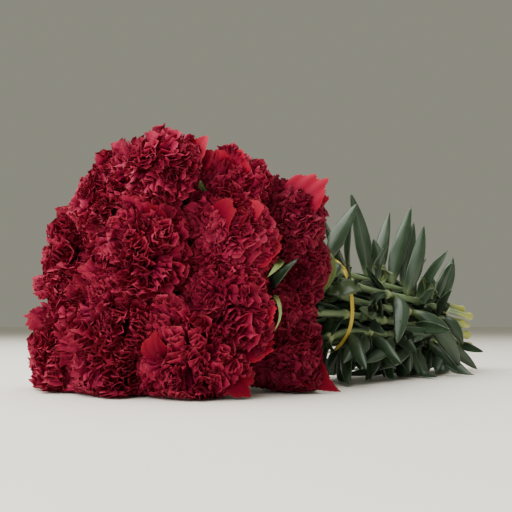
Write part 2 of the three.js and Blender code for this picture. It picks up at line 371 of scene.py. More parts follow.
def petal_tree():
    tree, size = new_tree("carnation petals", PETAL_SIZES)
    flat = add_node(tree, "GeometryNodeMeshGrid", {"Vertices X": size["Columns"], "Vertices Y": size["Rows"]})
    index = add_node(tree, "GeometryNodeInputIndex")
    numbered = stored(tree, copies(tree, flat, size["Petals"]), "petal", index, domain="INSTANCE")
    loose = add_node(tree, "GeometryNodeRealizeInstances", {"Geometry": numbered})

    # Where a vertex lies on its own petal: u from -1 to 1 across, v from the claw, 0, to the margin, 1.
    # The rows stand closer together near the margin, where the ruffles are. Rank is 0 for the outermost
    # petal and 1 for the innermost.
    petal = named(tree, "petal")
    here = index % (size["Columns"] * size["Rows"])
    column = (here / size["Rows"]).op("FLOOR")
    row = here % size["Rows"]
    u = column / (size["Columns"] - 1) * 2 - 1
    v = 1 - (1 - row / (size["Rows"] - 1)) ** MARGIN_CROWD * BLADE_SHARE
    rank = petal / (size["Petals"] - 1)

    def chance(low, high, salt):
        """A number between low and high that is the same all over one petal."""
        made = tree.nodes.new("FunctionNodeRandomValue")
        made.data_type = "FLOAT"
        feed(tree, made.inputs[2], low)
        feed(tree, made.inputs[3], high)
        feed(tree, made.inputs["ID"], petal)
        feed(tree, made.inputs["Seed"], size["Seed"] * 31 + salt)
        return Field(tree, made.outputs[1])

    # Where the petal points, how long and wide it is, and how far it is twisted.
    azimuth = petal * GOLDEN_ANGLE + chance(-0.5, 0.5, 1)
    lean = size["Outer Lean"] * (1 - rank) ** 0.52 + chance(-0.22, 0.22, 2)
    theta = lean * v ** 0.7
    reach = size["Reach"] * chance(0.80, 1.04, 3) * (1 - lean * lean * 0.05)
    twist = chance(-1.4, 1.4, 4) * between(0.15, 1.0, rank) * v
    fan = size["Fan"] * between(1.12, 0.8, rank) * chance(0.85, 1.15, 5)
    inner = (rank * 4).op("MINIMUM", 1.0)  # 0 for the smooth outermost petals

    # The blade's own directions: along its ray, to its side, and up from its face.
    ray = join_xyz(tree, sin(theta) * cos(azimuth), sin(theta) * sin(azimuth), cos(theta))
    up = join_xyz(tree, -(cos(theta) * cos(azimuth)), -(cos(theta) * sin(azimuth)), sin(theta))
    side = join_xyz(tree, -sin(azimuth), cos(azimuth), 0.0)
    turned_side = summed(scaled(side, cos(twist)), scaled(up, sin(twist)))
    turned_up = summed(scaled(up, cos(twist)), scaled(side, -sin(twist)))

    # The fan, with rounded corners, and the folds and ruffles across it. Their waves are uneven.
    wander = add_node(tree, "ShaderNodeTexNoise",
                      {"Vector": join_xyz(tree, u, petal * 7.3 + size["Seed"] * 3.1, 0.0),
                       "Scale": 1.3, "Detail": 0.0}, noise_dimensions="2D")
    uneven = u + (wander - 0.5) * 0.7
    spread = u * fan * (v ** 1.3 * 0.76 + 0.24)
    length = reach * v * (1 - u ** 4.0 * 0.2)
    fold_wave = uneven * chance(15.0, 24.0, 6) + chance(0.0, 6.28, 7)
    ruffle_wave = uneven * chance(36.0, 50.0, 8) + chance(0.0, 6.28, 9)
    fold = size["Fold"] * between(0.6, 1.1, inner) * chance(0.7, 1.3, 10) * v ** 1.5
    ruffle = size["Ruffle"] * between(0.75, 1.1, inner) * chance(0.7, 1.2, 11) * v ** 4.5
    cup = chance(-0.1, 0.5, 12) * u * u * fan * reach * v
    tooth = (column % 2 * 2 - 1) * size["Tooth"] * v ** 14.0

    along = length * cos(spread) + tooth
    across = reach * v * sin(spread) + fold * cos(fold_wave) * 0.5 + ruffle * cos(ruffle_wave + 0.6) * 0.7
    above = fold * sin(fold_wave) + ruffle * sin(ruffle_wave) + cup
    smooth_place = summed(scaled(ray, along), scaled(turned_side, across), scaled(turned_up, above))

    # No two petals crease alike: a soft noise shifts each one a little, most at its margin.
    crease = add_node(tree, "ShaderNodeTexNoise",
                      {"Vector": smooth_place, "W": petal * 3.7 + size["Seed"] * 1.7,
                       "Scale": CREASE_SCALE, "Detail": CREASE_DETAIL}, output=1, noise_dimensions="4D")
    shift = vector_math("SUBTRACT", crease, (0.5, 0.5, 0.5))
    place = summed(smooth_place, scaled(shift, size["Crumple"] * v * v * between(0.6, 1.3, rank)))

    moved = add_node(tree, "GeometryNodeSetPosition", {"Geometry": loose, "Position": place})
    end_tree(tree, with_map(tree, moved, u * 0.5 + 0.5, v), size["Material"])
    return tree


# %% [markdown]
# ## Petal red
# The blade is deep crimson, with fine veins that run out to the margin. A colour ramp along the blade gives
# this with no picture of a petal, and it paints light and shade too: painted shade darkens the blade towards
# the claw, where light hardly reaches, and the very edge, which is thin, gets a painted highlight of pale
# pink. Each petal differs a little in depth of colour, by its number. Painted shade darkens a whole set-back
# head, and each guard petal gets a painted brightness of its own. A faint sheen stands for the velvet of
# tiny cells on the blade.

# %% The petals' material
PETAL_STOPS = (0.3, 0.65, 0.9, 0.985, 0.999)  # shares of the length where the petal's five colours stand, from painted shade at the claw to a painted highlight at the margin
VELVET = (1, 0.2, 0.25)  # the sheen's own colour
PETAL_ROUGHNESS, VELVET_ROUGHNESS = 0.55, 0.4


def attribute(tree, name):
    """A number that is kept on the mesh under a name."""
    return add_node(tree, "ShaderNodeAttribute", output=2, attribute_name=name, attribute_type="GEOMETRY")


def blade_map(tree):
    """The piece's own map: across the blade, and along it from its foot to its tip."""
    parts = tree.nodes.new("ShaderNodeSeparateXYZ")
    feed(tree, parts.inputs[0], add_node(tree, "ShaderNodeUVMap", uv_map="UVMap"))
    return Field(tree, parts.outputs["X"]), Field(tree, parts.outputs["Y"])


def noise_on(tree, vector, scale, detail=2.0):
    return add_node(tree, "ShaderNodeTexNoise", {"Vector": vector, "Scale": scale, "Detail": detail})


def petal_material(name, gloss, sheen, *colors):
    """Five colours, from the claw, darkened by painted shade, to the margin, lightened by a painted
    highlight.
    """
    material, tree, shader = new_material(name, PETAL_ROUGHNESS, gloss, sheen, VELVET, VELVET_ROUGHNESS)
    across, along = blade_map(tree)
    shade = attribute(tree, "petal")
    ramp = tree.nodes.new("ShaderNodeValToRGB")
    stops = ramp.color_ramp.elements
    for place in PETAL_STOPS[1:-1]:
        stops.new(place)
    for stop, place, color in zip(stops, PETAL_STOPS, colors):
        stop.position = place
        stop.color = (*color, 1)
    feed(tree, ramp.inputs[0], along)
    vein = noise_on(tree, join_xyz(tree, across * 34, along * 3, shade * 3.1), 1.0) * 0.3 + 0.85
    # the value takes in the painted light and shade kept on the mesh: darker set-back heads, and each guard
    # petal's own brightness
    depth = (vein + sin(shade * 5.7) * 0.12) * attribute(tree, "painted_shading")
    toned = add_node(tree, "ShaderNodeHueSaturation", {"Color": Field(tree, ramp.outputs[0]), "Value": depth})
    tree.links.new(toned.socket, shader.inputs["Base Color"])
    return material


# %% [markdown]
# ## From a tree to a plain mesh
# A tree runs as a modifier. Its sizes are set by the identifiers of its inputs, before the object is
# evaluated for the first time. The result is then copied into a plain mesh and the modifier goes, because
# a plain mesh can be pressed, measured and exported.

# %% Grow
def grown(name, tree, material, start=None, **sizes):
    """Runs a tree with these sizes and returns its result as a plain mesh object."""
    piece = start or bpy.data.objects.new(name, bpy.data.meshes.new(name))
    if start is None:
        scene.collection.objects.link(piece)
    modifier = piece.modifiers.new("grow", "NODES")
    modifier.node_group = tree
    inputs = {item.name: item.identifier for item in tree.interface.items_tree
              if item.item_type == "SOCKET" and item.in_out == "INPUT"}
    modifier[inputs["Material"]] = material
    for label, value in sizes.items():
        modifier[inputs[label]] = value
    bpy.context.view_layer.update()
    depsgraph = bpy.context.evaluated_depsgraph_get()
    plain = bpy.data.meshes.new_from_object(piece.evaluated_get(depsgraph), depsgraph=depsgraph)
    plain.name = name
    piece.modifiers.remove(modifier)
    piece.data = plain
    return piece


# %% Small tools for plain meshes
def points_of(mesh):
    points = np.empty(len(mesh.vertices) * 3)
    mesh.vertices.foreach_get("co", points)
    return points.reshape(-1, 3)


def set_points(mesh, points):
    mesh.vertices.foreach_set("co", points.ravel())
    mesh.update()


def keep_values(mesh, name, values):
    """A number for each vertex, kept under a name."""
    mesh.attributes.new(name, "FLOAT", "POINT").data.foreach_set("value", values)


def place_at(mesh, place, way, roll):
    """Moves a mesh that was grown along +Z to its place, and turns it to face its way."""
    turn = way.to_track_quat("Z", "Y") @ Quaternion((0, 0, 1), roll)
    mesh.transform(Matrix.Translation(place) @ turn.to_matrix().to_4x4())


def mouth_of(flower):
    """The middle of the calyx's mouth, which the petals grow from."""
    return flower["centre"] - flower["face"] * HEAD_BACK


# %% [markdown]
# ## Pressing the heads together
# A grown head is a loose ball. In the bunch it is pressed: petals stop a little past the plane halfway to
# the next head, where the two heads' petals mix, and they lie flat on the table. A simulation of sixteen
# hundred petals would be slow and hard to steer, so each plane is a soft limit instead: it leaves the
# middle of the head alone and slows a point more and more as it nears the plane.

# %% The soft limit of a plane
PRESS_FROM = 7 * MM  # the pressing starts this far before the plane
PRESS_PAST = (5 * MM, 40 * MM)  # and lets petals this far past it, each its own way


def pressed(points, plane_point, direction, past, start=PRESS_FROM):
    """Points beyond the plane are brought back towards it, softly."""
    depth = (points - np.array(plane_point)) @ np.array(direction)
    room = start + past
    over = np.maximum(depth + start, 0)
    wanted = -start + room * (1 - np.exp(-over / room))
    change = np.where(over > 0, wanted - depth, 0)
    return points + change[:, None] * np.array(direction)


TABLE_GAP = 0.3 * MM  # petals stay this far above the table
TABLE_FROM = 5 * MM  # what is lower than this is lifted, the lower the more


def on_table(points, gap=TABLE_GAP):
    """Nothing passes the table."""
    return pressed(points, (0, 0, 0), (0, 0, -1), past=-gap, start=TABLE_FROM)


# %% [markdown]
# ## Between two heads
# Between equals the plane stands half way. The rims of the front flowers stand over the set-back ones, so
# there it stands further back, and fewer petals cross it.

# %% The planes round a head
NEIGHBOUR_WITHIN = 115 * MM
FRONT_SHARE, BACK_SHARE = 0.56, 0.44  # of the way from a front head to a set-back one, and the other way
TIERS_FREEDOM = 0.4  # how freely petals cross from the one tier to the other
OPEN_SIDE = np.array([0.69, -0.72, 0.0])  # where nothing stands beside the set-back flowers
NARROW = {1: 21 * MM}  # the lowest one there is narrow: how far out on that side its petals reach
NARROW_FREEDOM = 0.1


def neighbours(flower):
    """The plane to each head nearby, as a point and a direction, and how freely it is crossed."""
    for other in flowers:
        apart = other["centre"] - flower["centre"]
        if other is flower or apart.length >= NEIGHBOUR_WITHIN:
            continue
        share, freedom = 0.5, 1
        if {flower["column"], other["column"]} == {0, 1}:
            share = FRONT_SHARE if other["column"] == 0 else BACK_SHARE
            freedom = TIERS_FREEDOM
        yield np.array(flower["centre"] + apart * share), np.array(apart.normalized()), freedom


def against_neighbours(points, flower, past):
    """Pressed by the heads nearby and by the table, and a narrow head on its open side too."""
    if flower["number"] in NARROW:
        edge = np.array(flower["centre"]) + OPEN_SIDE * NARROW[flower["number"]]
        points = pressed(points, edge, OPEN_SIDE, past * NARROW_FREEDOM)
    for middle, towards, freedom in neighbours(flower):
        points = pressed(points, middle, towards, past * freedom)
    return on_table(points)


# %% [markdown]
# ## What a pressed head does
# Three things happen to a head in the crowd. Its petals stretch into the hollows where three heads meet,
# its rim is pushed forwards, and what a petal loses to a plane shows as a fold along it. The folds are
# what makes pressed heads look full, so the length isn't simply cut off. Each petal gets a chance of its
# own of how far it crosses a plane, so that neighbours mingle.

# %% Press one head
FILL_SHARE = 0.32  # petals reach this much further towards a neighbour, into the hollows between heads
FLATTEN = 15 * MM  # how far forwards the crowd pushes a head's rim
RIM_MOST = 1.2  # a petal further out than this many head radii is pushed no more than one that is here
FOLD_SHARES = (0.25, 0.95)  # of the length that a petal loses to a plane, what shows as a fold forwards:
FOLD_WITHIN = 25 * MM  # the first share at the calyx's mouth, the second from this far in front of it
FOLD_MOST = 16 * MM  # a fold's length, at most
FRONT_PAST, FRONT_FROM = 3 * MM, 14 * MM  # no petal stands much further forwards than the head's middle


def press_head(points, petal, flower):
    """Petals reach into the hollows, stop at the planes, and fold forwards along them."""
    chance = np.random.default_rng(flower["number"]).uniform(size=petal.max() + 1)[petal]
    past = PRESS_PAST[0] + (PRESS_PAST[1] - PRESS_PAST[0]) * chance
    mouth = np.array(mouth_of(flower))
    face = np.array(flower["face"])
    arms = points - mouth
    length = np.linalg.norm(arms, axis=1)
    # how far a point is turned towards the nearest neighbour or the table: 1 is straight towards it
    turned_to = np.zeros(len(points))
    for _, towards, _ in neighbours(flower):
        turned_to = np.maximum(turned_to, arms @ towards / length)
    if flower["row"] == 0:
        turned_to = np.maximum(turned_to, -arms[:, 2] / length)
    ahead = arms @ face
    aside = np.sqrt(np.maximum(length ** 2 - ahead ** 2, 0)) / HEAD_RADIUS
    rise = FLATTEN * np.minimum(aside, RIM_MOST) ** 2 * np.maximum(turned_to, 0)
    longer = 1 + FILL_SHARE * np.maximum(turned_to, 0) ** 2
    points = mouth + arms * longer[:, None] + rise[:, None] * face
    # what is lost to the planes comes back as a fold forwards
    before = np.linalg.norm(points - mouth, axis=1)
    arms = against_neighbours(points, flower, past) - mouth
    lost = np.maximum(before ** 2 - (arms ** 2).sum(axis=1), 0)
    ahead = arms @ face
    share = np.interp(ahead, (0, FOLD_WITHIN), FOLD_SHARES)
    forwards = (np.sqrt(ahead ** 2 + lost) - ahead) * share
    forwards = FOLD_MOST * (1 - np.exp(-forwards / FOLD_MOST))
    points = against_neighbours(mouth + arms + forwards[:, None] * face, flower, past)
    return pressed(points, mouth + face * flower["reach"], face, past=FRONT_PAST, start=FRONT_FROM)


# %% Shift the petals unevenly
WARP = 3.5 * MM  # how far the crowding shifts petals
WARP_WAVES, WARP_WAVELENGTHS = 7, (30 * MM, 70 * MM)
WARP_SEED = 5
WARP_FULL = 32 * MM  # from here on, seen from the calyx's mouth, the shift is whole


def unit(vector):
    return vector / np.linalg.norm(vector)


def warped(points, mouth):
    """The same gentle, uneven shift for every head, none at its calyx, so that no seam stays straight."""
    chance = np.random.default_rng(WARP_SEED)
    shift = np.zeros_like(points)
    for _ in range(WARP_WAVES):
        wave = unit(chance.normal(size=3)) * math.tau / chance.uniform(*WARP_WAVELENGTHS)
        shift += np.outer(np.sin(points @ wave + chance.uniform(0, math.tau)), chance.normal(size=3))
    free = np.clip(np.linalg.norm(points - np.array(mouth), axis=1) / WARP_FULL, 0, 1)
    return points + shift * (free * WARP / math.sqrt(WARP_WAVES))[:, None]


def petal_of(mesh):
    """Which petal each vertex belongs to."""
    values = np.empty(len(mesh.vertices))
    mesh.attributes["petal"].data.foreach_get("value", values)
    return np.round(values).astype(int)


# %% [markdown]
# ## Twenty heads
# Pressing a ruffled head would iron its ruffles flat. So each head is grown twice from the same seed, once
# ruffled and once smooth, and the two have the same vertices. The smooth one is pressed, and what the
# ruffles had added to each vertex is added back. No two heads show the same side, because each is rolled
# on by the same odd angle.

# %% Grow the heads
petals_tree = petal_tree()
# the five colours run from painted shade at the claw to a painted highlight at the margin
petal_red = petal_material("petal red", 0.09, 0.04, (0.17, 0.005, 0.046), (0.21, 0.007, 0.045),
                           (0.25, 0.009, 0.042), (0.27, 0.010, 0.040), (0.33, 0.032, 0.052))
NO_RUFFLES = {"Fold": 0.0, "Ruffle": 0.0, "Tooth": 0.0, "Crumple": 0.0}
SET_BACK_SHADE = 0.64  # painted shade on the set-back flowers, which lie in the shadow of the front ones
HEAD_ROLL = 2.4
# flower: how long its petals are, in mm, where it is a smaller head
SMALL_REACHES = {1: 37, 2: 33, 3: 36, 4: 39, 6: 46, 7: 43, 8: 41, 12: 45, 13: 46, 14: 45, 15: 45, 16: 42}
for flower in flowers:
    number, mouth = flower["number"], mouth_of(flower)
    flower["reach"] = SMALL_REACHES[number] * MM if number in SMALL_REACHES else PETAL_SIZES["Reach"]
    shapes = []
    for ruffles in ({}, NO_RUFFLES):
        head = grown(f"petals_{number:02d}", petals_tree, petal_red, Seed=number, Reach=flower["reach"],
                     **ruffles)
        place_at(head.data, mouth, flower["face"], HEAD_ROLL * number)
        shapes.append((head, points_of(head.data)))
    (head, ruffled), (even, smooth) = shapes
    placed = press_head(warped(smooth, mouth), petal_of(head.data), flower)
    bpy.data.objects.remove(even)
    set_points(head.data, on_table(placed + ruffled - smooth) - np.array(ORIGIN))
    # painted shade: the set-back flowers are darkened, and the rest keep their full colour
    keep_values(head.data, "painted_shading", np.full(len(smooth), SET_BACK_SHADE if flower["column"] == 0 else 1.0))
    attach(head, "root")
    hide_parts(f"corolla_{number:02d}")
print("petals per head:", PETAL_SIZES["Petals"], "faces per head:", len(head.data.polygons))

# %% [markdown]
# ## Guard petals
# The outermost petals of a carnation, which growers call guard petals, are broader and smoother than the
# rest. Here and there one has slipped out of the press and stands free. How bright each one looks, lit where
# light comes through it or dark in a hollow, is painted into its colour. There are too few for a rule, so
# each is placed one by one: its middle line runs from its own calyx through one point to its tip. Across the
# line lies a fan with uneven lobes, teeth and a slow ripple, all drawn from a seed of its own.

# %% Where the guard petals are
GUARDS = [  # flower, a point on the way, tip, width, all in mm; cup; brightness, which is painted light and shade
    (4, (112, -48, 160), (126, -64, 182), 40, 0.10, 0.86),
    (4, (116, -44, 152), (134, -60, 172), 30, 0.15, 0.86),
    (8, (64, -5, 182), (57, -9, 201), 26, 0.15, 0.95),
    (8, (72, -12, 180), (68, -21, 200), 30, 0.10, 1.00),
    (12, (38, 10, 188), (46, -2, 214), 26, 0.40, 0.95),
    (12, (44, 4, 186), (50, -6, 200), 16, 0.40, 0.75),
    (7, (50, -20, 134), (42, -38, 149), 32, 0.25, 0.52),
    (7, (56, -28, 130), (50, -46, 144), 26, 0.60, 0.32),
    (7, (62, -31, 137), (60, -50, 152), 28, 0.20, 0.80),
    (11, (10, 16, 134), (-2, 5, 148), 28, 0.25, 0.60),
    (5, (6, -4, 30), (-8, -10, 47), 20, -0.20, 0.62),
    (5, (42, -30, 24), (48, -52, 4), 34, 0.05, 0.60),
    (6, (62, -34, 58), (70, -58, 66), 40, 0.15, 0.95),
    (6, (62, -34, 44), (70, -58, 38), 34, 0.15, 0.85),
    (7, (70, -34, 118), (80, -58, 124), 44, 0.15, 0.90),
    (1, (114, -46, 24), (128, -76, 3), 26, 0.55, 0.48),
]
TOWARDS_LIGHT = np.array([-0.66, -0.5, 0.4])  # the way that their inner sides face

# %% The shape of a guard petal
GUARD_COLUMNS, GUARD_ROWS = 29, 14
LOBE_WAVES, LOBE_SHARE = (2, 3.5, 6, 11), 0.035  # of the petal's length
TOOTH_SHARE = 0.011
RIPPLE_WAVES, RIPPLE = (2, 4, 7, 12, 19), 8 * MM
DROOP = 3 * MM  # of the margin
CLAW_SHARE = 0.12  # of the petal's width
CORNER_CUT = 0.3  # the margin is round: its corners lie this share of the length further back


def guard_petal(flower, via, tip, wide, cup):
    """The points of one broad petal, row by row from its claw to its margin."""
    start = np.array(mouth_of(flower))
    chance = np.random.default_rng(wide * 100 + flower["number"])
    via, tip = np.array(via) * MM, np.array(tip) * MM
    pull = via * 2 - (start + tip) / 2  # the curve passes through via half way
    u, v = np.meshgrid(np.linspace(-1, 1, GUARD_COLUMNS), np.linspace(0, 1, GUARD_ROWS))
    lobes = sum(chance.uniform(-1, 1) * np.sin(u * wave + chance.uniform(0, 6)) for wave in LOBE_WAVES)
    tooth = np.where(np.arange(GUARD_COLUMNS) % 2, TOOTH_SHARE, -TOOTH_SHARE) * (v == 1)
    t = (v * (1 - CORNER_CUT * np.abs(u) ** 2.2 + lobes * LOBE_SHARE) + tooth)[..., None]
    middle = start * (1 - t) ** 2 + pull * 2 * t * (1 - t) + tip * t ** 2
    way = unit(tip - via)
    side = unit(np.cross(way, TOWARDS_LIGHT))
    front = np.cross(side, way)
    half = wide / 2 * MM * (CLAW_SHARE + (1 - CLAW_SHARE) * np.sin(v ** 1.1 * math.pi / 2))
    ripple = sum(chance.uniform(-1, 1) / wave ** 1.3 * np.sin(u * wave + chance.uniform(0, 6))
                 for wave in RIPPLE_WAVES)
    lift = cup * half * u ** 2 + ripple * v ** 2 * RIPPLE - v ** 4 * DROOP
    points = middle + side * (u * half)[..., None] + front * lift[..., None]
    return points.reshape(-1, 3), np.column_stack([u.ravel() / 2 + 0.5, v.ravel()])


def grid_faces(first):
    """The faces of one petal's grid, whose first vertex has this number."""
    corners = np.arange(GUARD_COLUMNS * GUARD_ROWS).reshape(GUARD_ROWS, GUARD_COLUMNS) + first
    ring = [corners[:-1, :-1], corners[:-1, 1:], corners[1:, 1:], corners[1:, :-1]]
    return np.stack(ring, axis=-1).reshape(-1, 4).tolist()


# %% Grow the guard petals
# here too the colours run from painted shade at the claw to a painted highlight at the margin
guard_red = petal_material("guard petal red", 0.04, 0.01, (0.10, 0.0024, 0.020), (0.19, 0.0040, 0.025),
                           (0.29, 0.006, 0.027), (0.33, 0.010, 0.030), (0.39, 0.026, 0.040))
PETAL_PER_PAINTED_BRIGHTNESS = 7.0  # gives petals of different painted brightness different veins
for flower in flowers:
    own = [guard for guard in GUARDS if guard[0] == flower["number"]]
    if not own:
        continue
    points, maps, painted_brightnesses, faces = [], [], [], []
    for _, via, tip, wide, cup, painted_brightness in own:
        faces += grid_faces(len(points) * GUARD_COLUMNS * GUARD_ROWS)
        place, blade = guard_petal(flower, via, tip, wide, cup)
        points.append(on_table(place) - np.array(ORIGIN))
        maps.append(blade)
        # each petal's brightness is painted light and shade
        painted_brightnesses.append(np.full(len(place), painted_brightness))
    piece = mesh_object(f"guard_petals_{flower['number']:02d}", np.vstack(points), faces)
    mesh = piece.data
    corner_points = np.array([loop.vertex_index for loop in mesh.loops])
    mesh.uv_layers.new(name="UVMap").data.foreach_set("uv", np.vstack(maps)[corner_points].ravel())
    keep_values(mesh, "painted_shading", np.concatenate(painted_brightnesses))
    keep_values(mesh, "petal", np.concatenate(painted_brightnesses) * PETAL_PER_PAINTED_BRIGHTNESS)
    mesh.polygons.foreach_set("use_smooth", [True] * len(mesh.polygons))
    mesh.materials.append(guard_red)
    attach(piece, "root")
print("guard petals:", len(GUARDS))

# %% [markdown]
# ## The lines of the stems
# Each stem leaves its calyx straight back from the flower, bends into its own place in the bundle at the
# rubber band, and then runs on, closer together, to the cut end. The line is a centripetal Catmull-Rom
# spline through five points, the kind that the solids use, because it doesn't overshoot at bends.

# %% Stem lines
def share_at(x):
    """0 at the rubber band, 1 at the cut ends."""
    return (x - BAND_AT) / (END_AT - BAND_AT)


def axis_height(share):
    """Of the bundle's middle, which sinks towards the cut ends."""
    return BAND_HEIGHT + (END_HEIGHT - BAND_HEIGHT) * share


ROW_SPREAD = 1.6  # in rows, from the bundle's middle up to its half height
ROW_UNEVEN = 0.06  # every other column stands a little higher


def bundle_slot(column, row, x):
    """Where a stem passes the plane at x, between the band and the cut ends."""
    share = share_at(x)
    squeeze = 1 + (END_SQUEEZE - 1) * share
    across = (column - 2) / 2  # from -1 to 1
    up = (row - 1.5) / ROW_SPREAD + (ROW_UNEVEN if column % 2 else -ROW_UNEVEN)
    tall = math.sqrt(1 - across * across / 2) * BUNDLE_HIGH * squeeze  # less at the sides: it is round
    return Vector((x, across * BUNDLE_WIDE * squeeze, axis_height(share) + up * tall))


FINE_POINTS = 40  # between two knots


def spline(knots, count):
    """Points on the centripetal Catmull-Rom spline through the knots, evenly spaced along it."""
    knots = [np.array(k) for k in knots]
    knots = [2 * knots[0] - knots[1]] + knots + [2 * knots[-1] - knots[-2]]
    fine = []
    for p0, p1, p2, p3 in zip(knots, knots[1:], knots[2:], knots[3:]):
        # centripetal: the steps between the knots are the roots of their distances
        d0, d1, d2 = (math.sqrt(np.linalg.norm(b - a)) for a, b in ((p0, p1), (p1, p2), (p2, p3)))
        start = ((p1 - p0) / d0 - (p2 - p0) / (d0 + d1) + (p2 - p1) / d1) * d1
        end = ((p2 - p1) / d1 - (p3 - p1) / (d1 + d2) + (p3 - p2) / d2) * d1
        t = np.linspace(0, 1, FINE_POINTS, endpoint=False)[:, None]
        fine.append(p1 + start * t + (3 * p2 - 3 * p1 - 2 * start - end) * t ** 2
                    + (2 * p1 - 2 * p2 + start + end) * t ** 3)
    fine = np.vstack(fine + [knots[-2][None]])
    length = np.concatenate([[0], np.cumsum(np.linalg.norm(np.diff(fine, axis=0), axis=1))])
    even = np.linspace(0, length[-1], count)
    return np.column_stack([np.interp(even, length, fine[:, i]) for i in range(3)]), length[-1]


MOUTH_GAP = 0.35 * MM  # the stem's solid begins this far behind the calyx's mouth
LINE_POINTS = 161
PASSES = (BAND_AT, (BAND_AT + END_AT) / 2, END_AT)  # where a stem has its own place in the bundle
for flower in flowers:
    knots = [flower["centre"] - flower["face"] * (HEAD_BACK + back) for back in (MOUTH_GAP, CALYX_LENGTH)]
    knots += [bundle_slot(flower["column"], flower["row"], x) for x in PASSES]
    flower["line"], flower["length"] = spline(knots, LINE_POINTS)
lengths = [round(flower["length"], 3) for flower in flowers]
print("stems are", min(lengths), "to", max(lengths), "m long")

# %% [markdown]
# ## Stalks
# A carnation's stalk is a smooth tube with a swollen joint every few centimetres, where a pair of leaves
# clasps it in a short sheath. It follows a path, so Geometry Nodes sweep a circle along the line, with a
# radius that is a formula of the length from the calyx. The tree keeps how near a point is to a joint and
# to the cut end, so that the material can colour both.

# %% The tree of the stalks
JOINT_SPACING = 68 * MM
STALK_SIZES = {
    "Rings": 150,
    "Sides": 12,
    "Radius": STEM_RADIUS,
    "Joint Radius": NODE_RADIUS,
    "First Joint": 60 * MM,
    "Joint Spacing": JOINT_SPACING,
}
JOINT_LENGTH = 3.2 * MM  # of the swelling, to either side
SHEATH_FROM, SHEATH_TO = -9.5 * MM, -8.5 * MM  # where the sheath of a pair of leaves begins, before a joint
SHEATH_SHARE = 0.16  # how much thicker the sheath is
FOOT_THICKER, THICKENS_OVER = 1.12, 400 * MM  # a stalk is a little thicker towards its foot
CUT_GREEN, CUT_PALE = 46 * MM, 18 * MM  # from the cut: it is green from the first on, pale up to the second


def stalk_tree():
    tree, size = new_tree("carnation stalk", STALK_SIZES)
    path = add_node(tree, "GeometryNodeMeshToCurve", {"Mesh": size["Geometry"]})
    path = add_node(tree, "GeometryNodeResampleCurve", {"Curve": path, "Count": size["Rings"]})
    along = add_node(tree, "GeometryNodeSplineParameter", output=1)
    spacing = size["Joint Spacing"]
    past = (along - size["First Joint"] + spacing * 0.5).op("FLOORED_MODULO", spacing) - spacing * 0.5
    joint = (-(past / JOINT_LENGTH) ** 2.0).op("EXPONENT")
    sheath = map_range(tree, past, SHEATH_FROM, SHEATH_TO, smooth=True) * past.op("LESS_THAN", 0.0)
    thick = between(1.0, FOOT_THICKER, (along / THICKENS_OVER).op("MINIMUM", 1.0))
    radius = (size["Radius"] * thick * (sheath * SHEATH_SHARE + 1)
              + (size["Joint Radius"] - size["Radius"]) * joint)
    cut = map_range(tree, add_node(tree, "GeometryNodeSplineLength") - along, CUT_GREEN, CUT_PALE)
    for name, value in (("joint", joint), ("cut", cut)):
        path = stored(tree, path, name, value)
    circle = add_node(tree, "GeometryNodeCurvePrimitiveCircle", {"Resolution": size["Sides"], "Radius": 1.0})
    tube = add_node(tree, "GeometryNodeCurveToMesh",
                    {"Curve": path, "Profile Curve": circle, "Scale": radius, "Fill Caps": True})
    end_tree(tree, tube, size["Material"])
    return tree


# %% [markdown]
# ## Stem green
# The stalk is a pale grey-green from its waxy bloom, yellower and lighter at the joints and at the cut end,
# with faint long streaks. The streaks are noise that is drawn out along the stems, and the bloom is a
# soft sheen.

# %% The stems' material
def mixed(tree, share, first, second):
    """One colour blended into another."""
    made = tree.nodes.new("ShaderNodeMix")
    made.data_type = "RGBA"
    feed(tree, made.inputs["Factor"], share)
    for slot, color in ((made.inputs[6], first), (made.inputs[7], second)):
        feed(tree, slot, color if isinstance(color, Field) else (*color, 1))
    return Field(tree, made.outputs[2])


def place_on_object(tree):
    """The piece's own coordinates, which don't slide when it is moved."""
    return add_node(tree, "ShaderNodeTexCoord", output=3)


def bumped(tree, shader, height, strength, distance):
    """A grain too fine for the mesh."""
    bump = add_node(tree, "ShaderNodeBump", {"Strength": strength, "Distance": distance, "Height": height})
    tree.links.new(bump.socket, shader.inputs["Normal"])


LENGTHWISE = (0.08, 1.0, 1.0)  # noise drawn out along the stems


def stem_material():
    material, tree, shader = new_material("stem green", 0.45, 0.4, 0.1, (0.8, 0.95, 0.85))
    place = place_on_object(tree)
    streak = noise_on(tree, vector_math("MULTIPLY", place, LENGTHWISE), 600)
    blotch = noise_on(tree, place, 45)
    green = mixed(tree, streak, (0.12, 0.18, 0.075), (0.26, 0.34, 0.155))
    green = mixed(tree, blotch * 0.7, green, (0.13, 0.20, 0.11))
    color = mixed(tree, attribute(tree, "joint") * 0.8, green, (0.40, 0.44, 0.17))
    color = mixed(tree, attribute(tree, "cut") * 0.9, color, (0.36, 0.38, 0.05))
    tree.links.new(color.socket, shader.inputs["Base Color"])
    bumped(tree, shader, streak, 0.15, 0.3 * MM)
    return material


# %% [markdown]
# ## Twenty stalks
# The tree needs a line to follow, so each stem's line is made a mesh of loose edges first. No two stems
# are cut off at quite the same length, and their joints don't stand side by side.

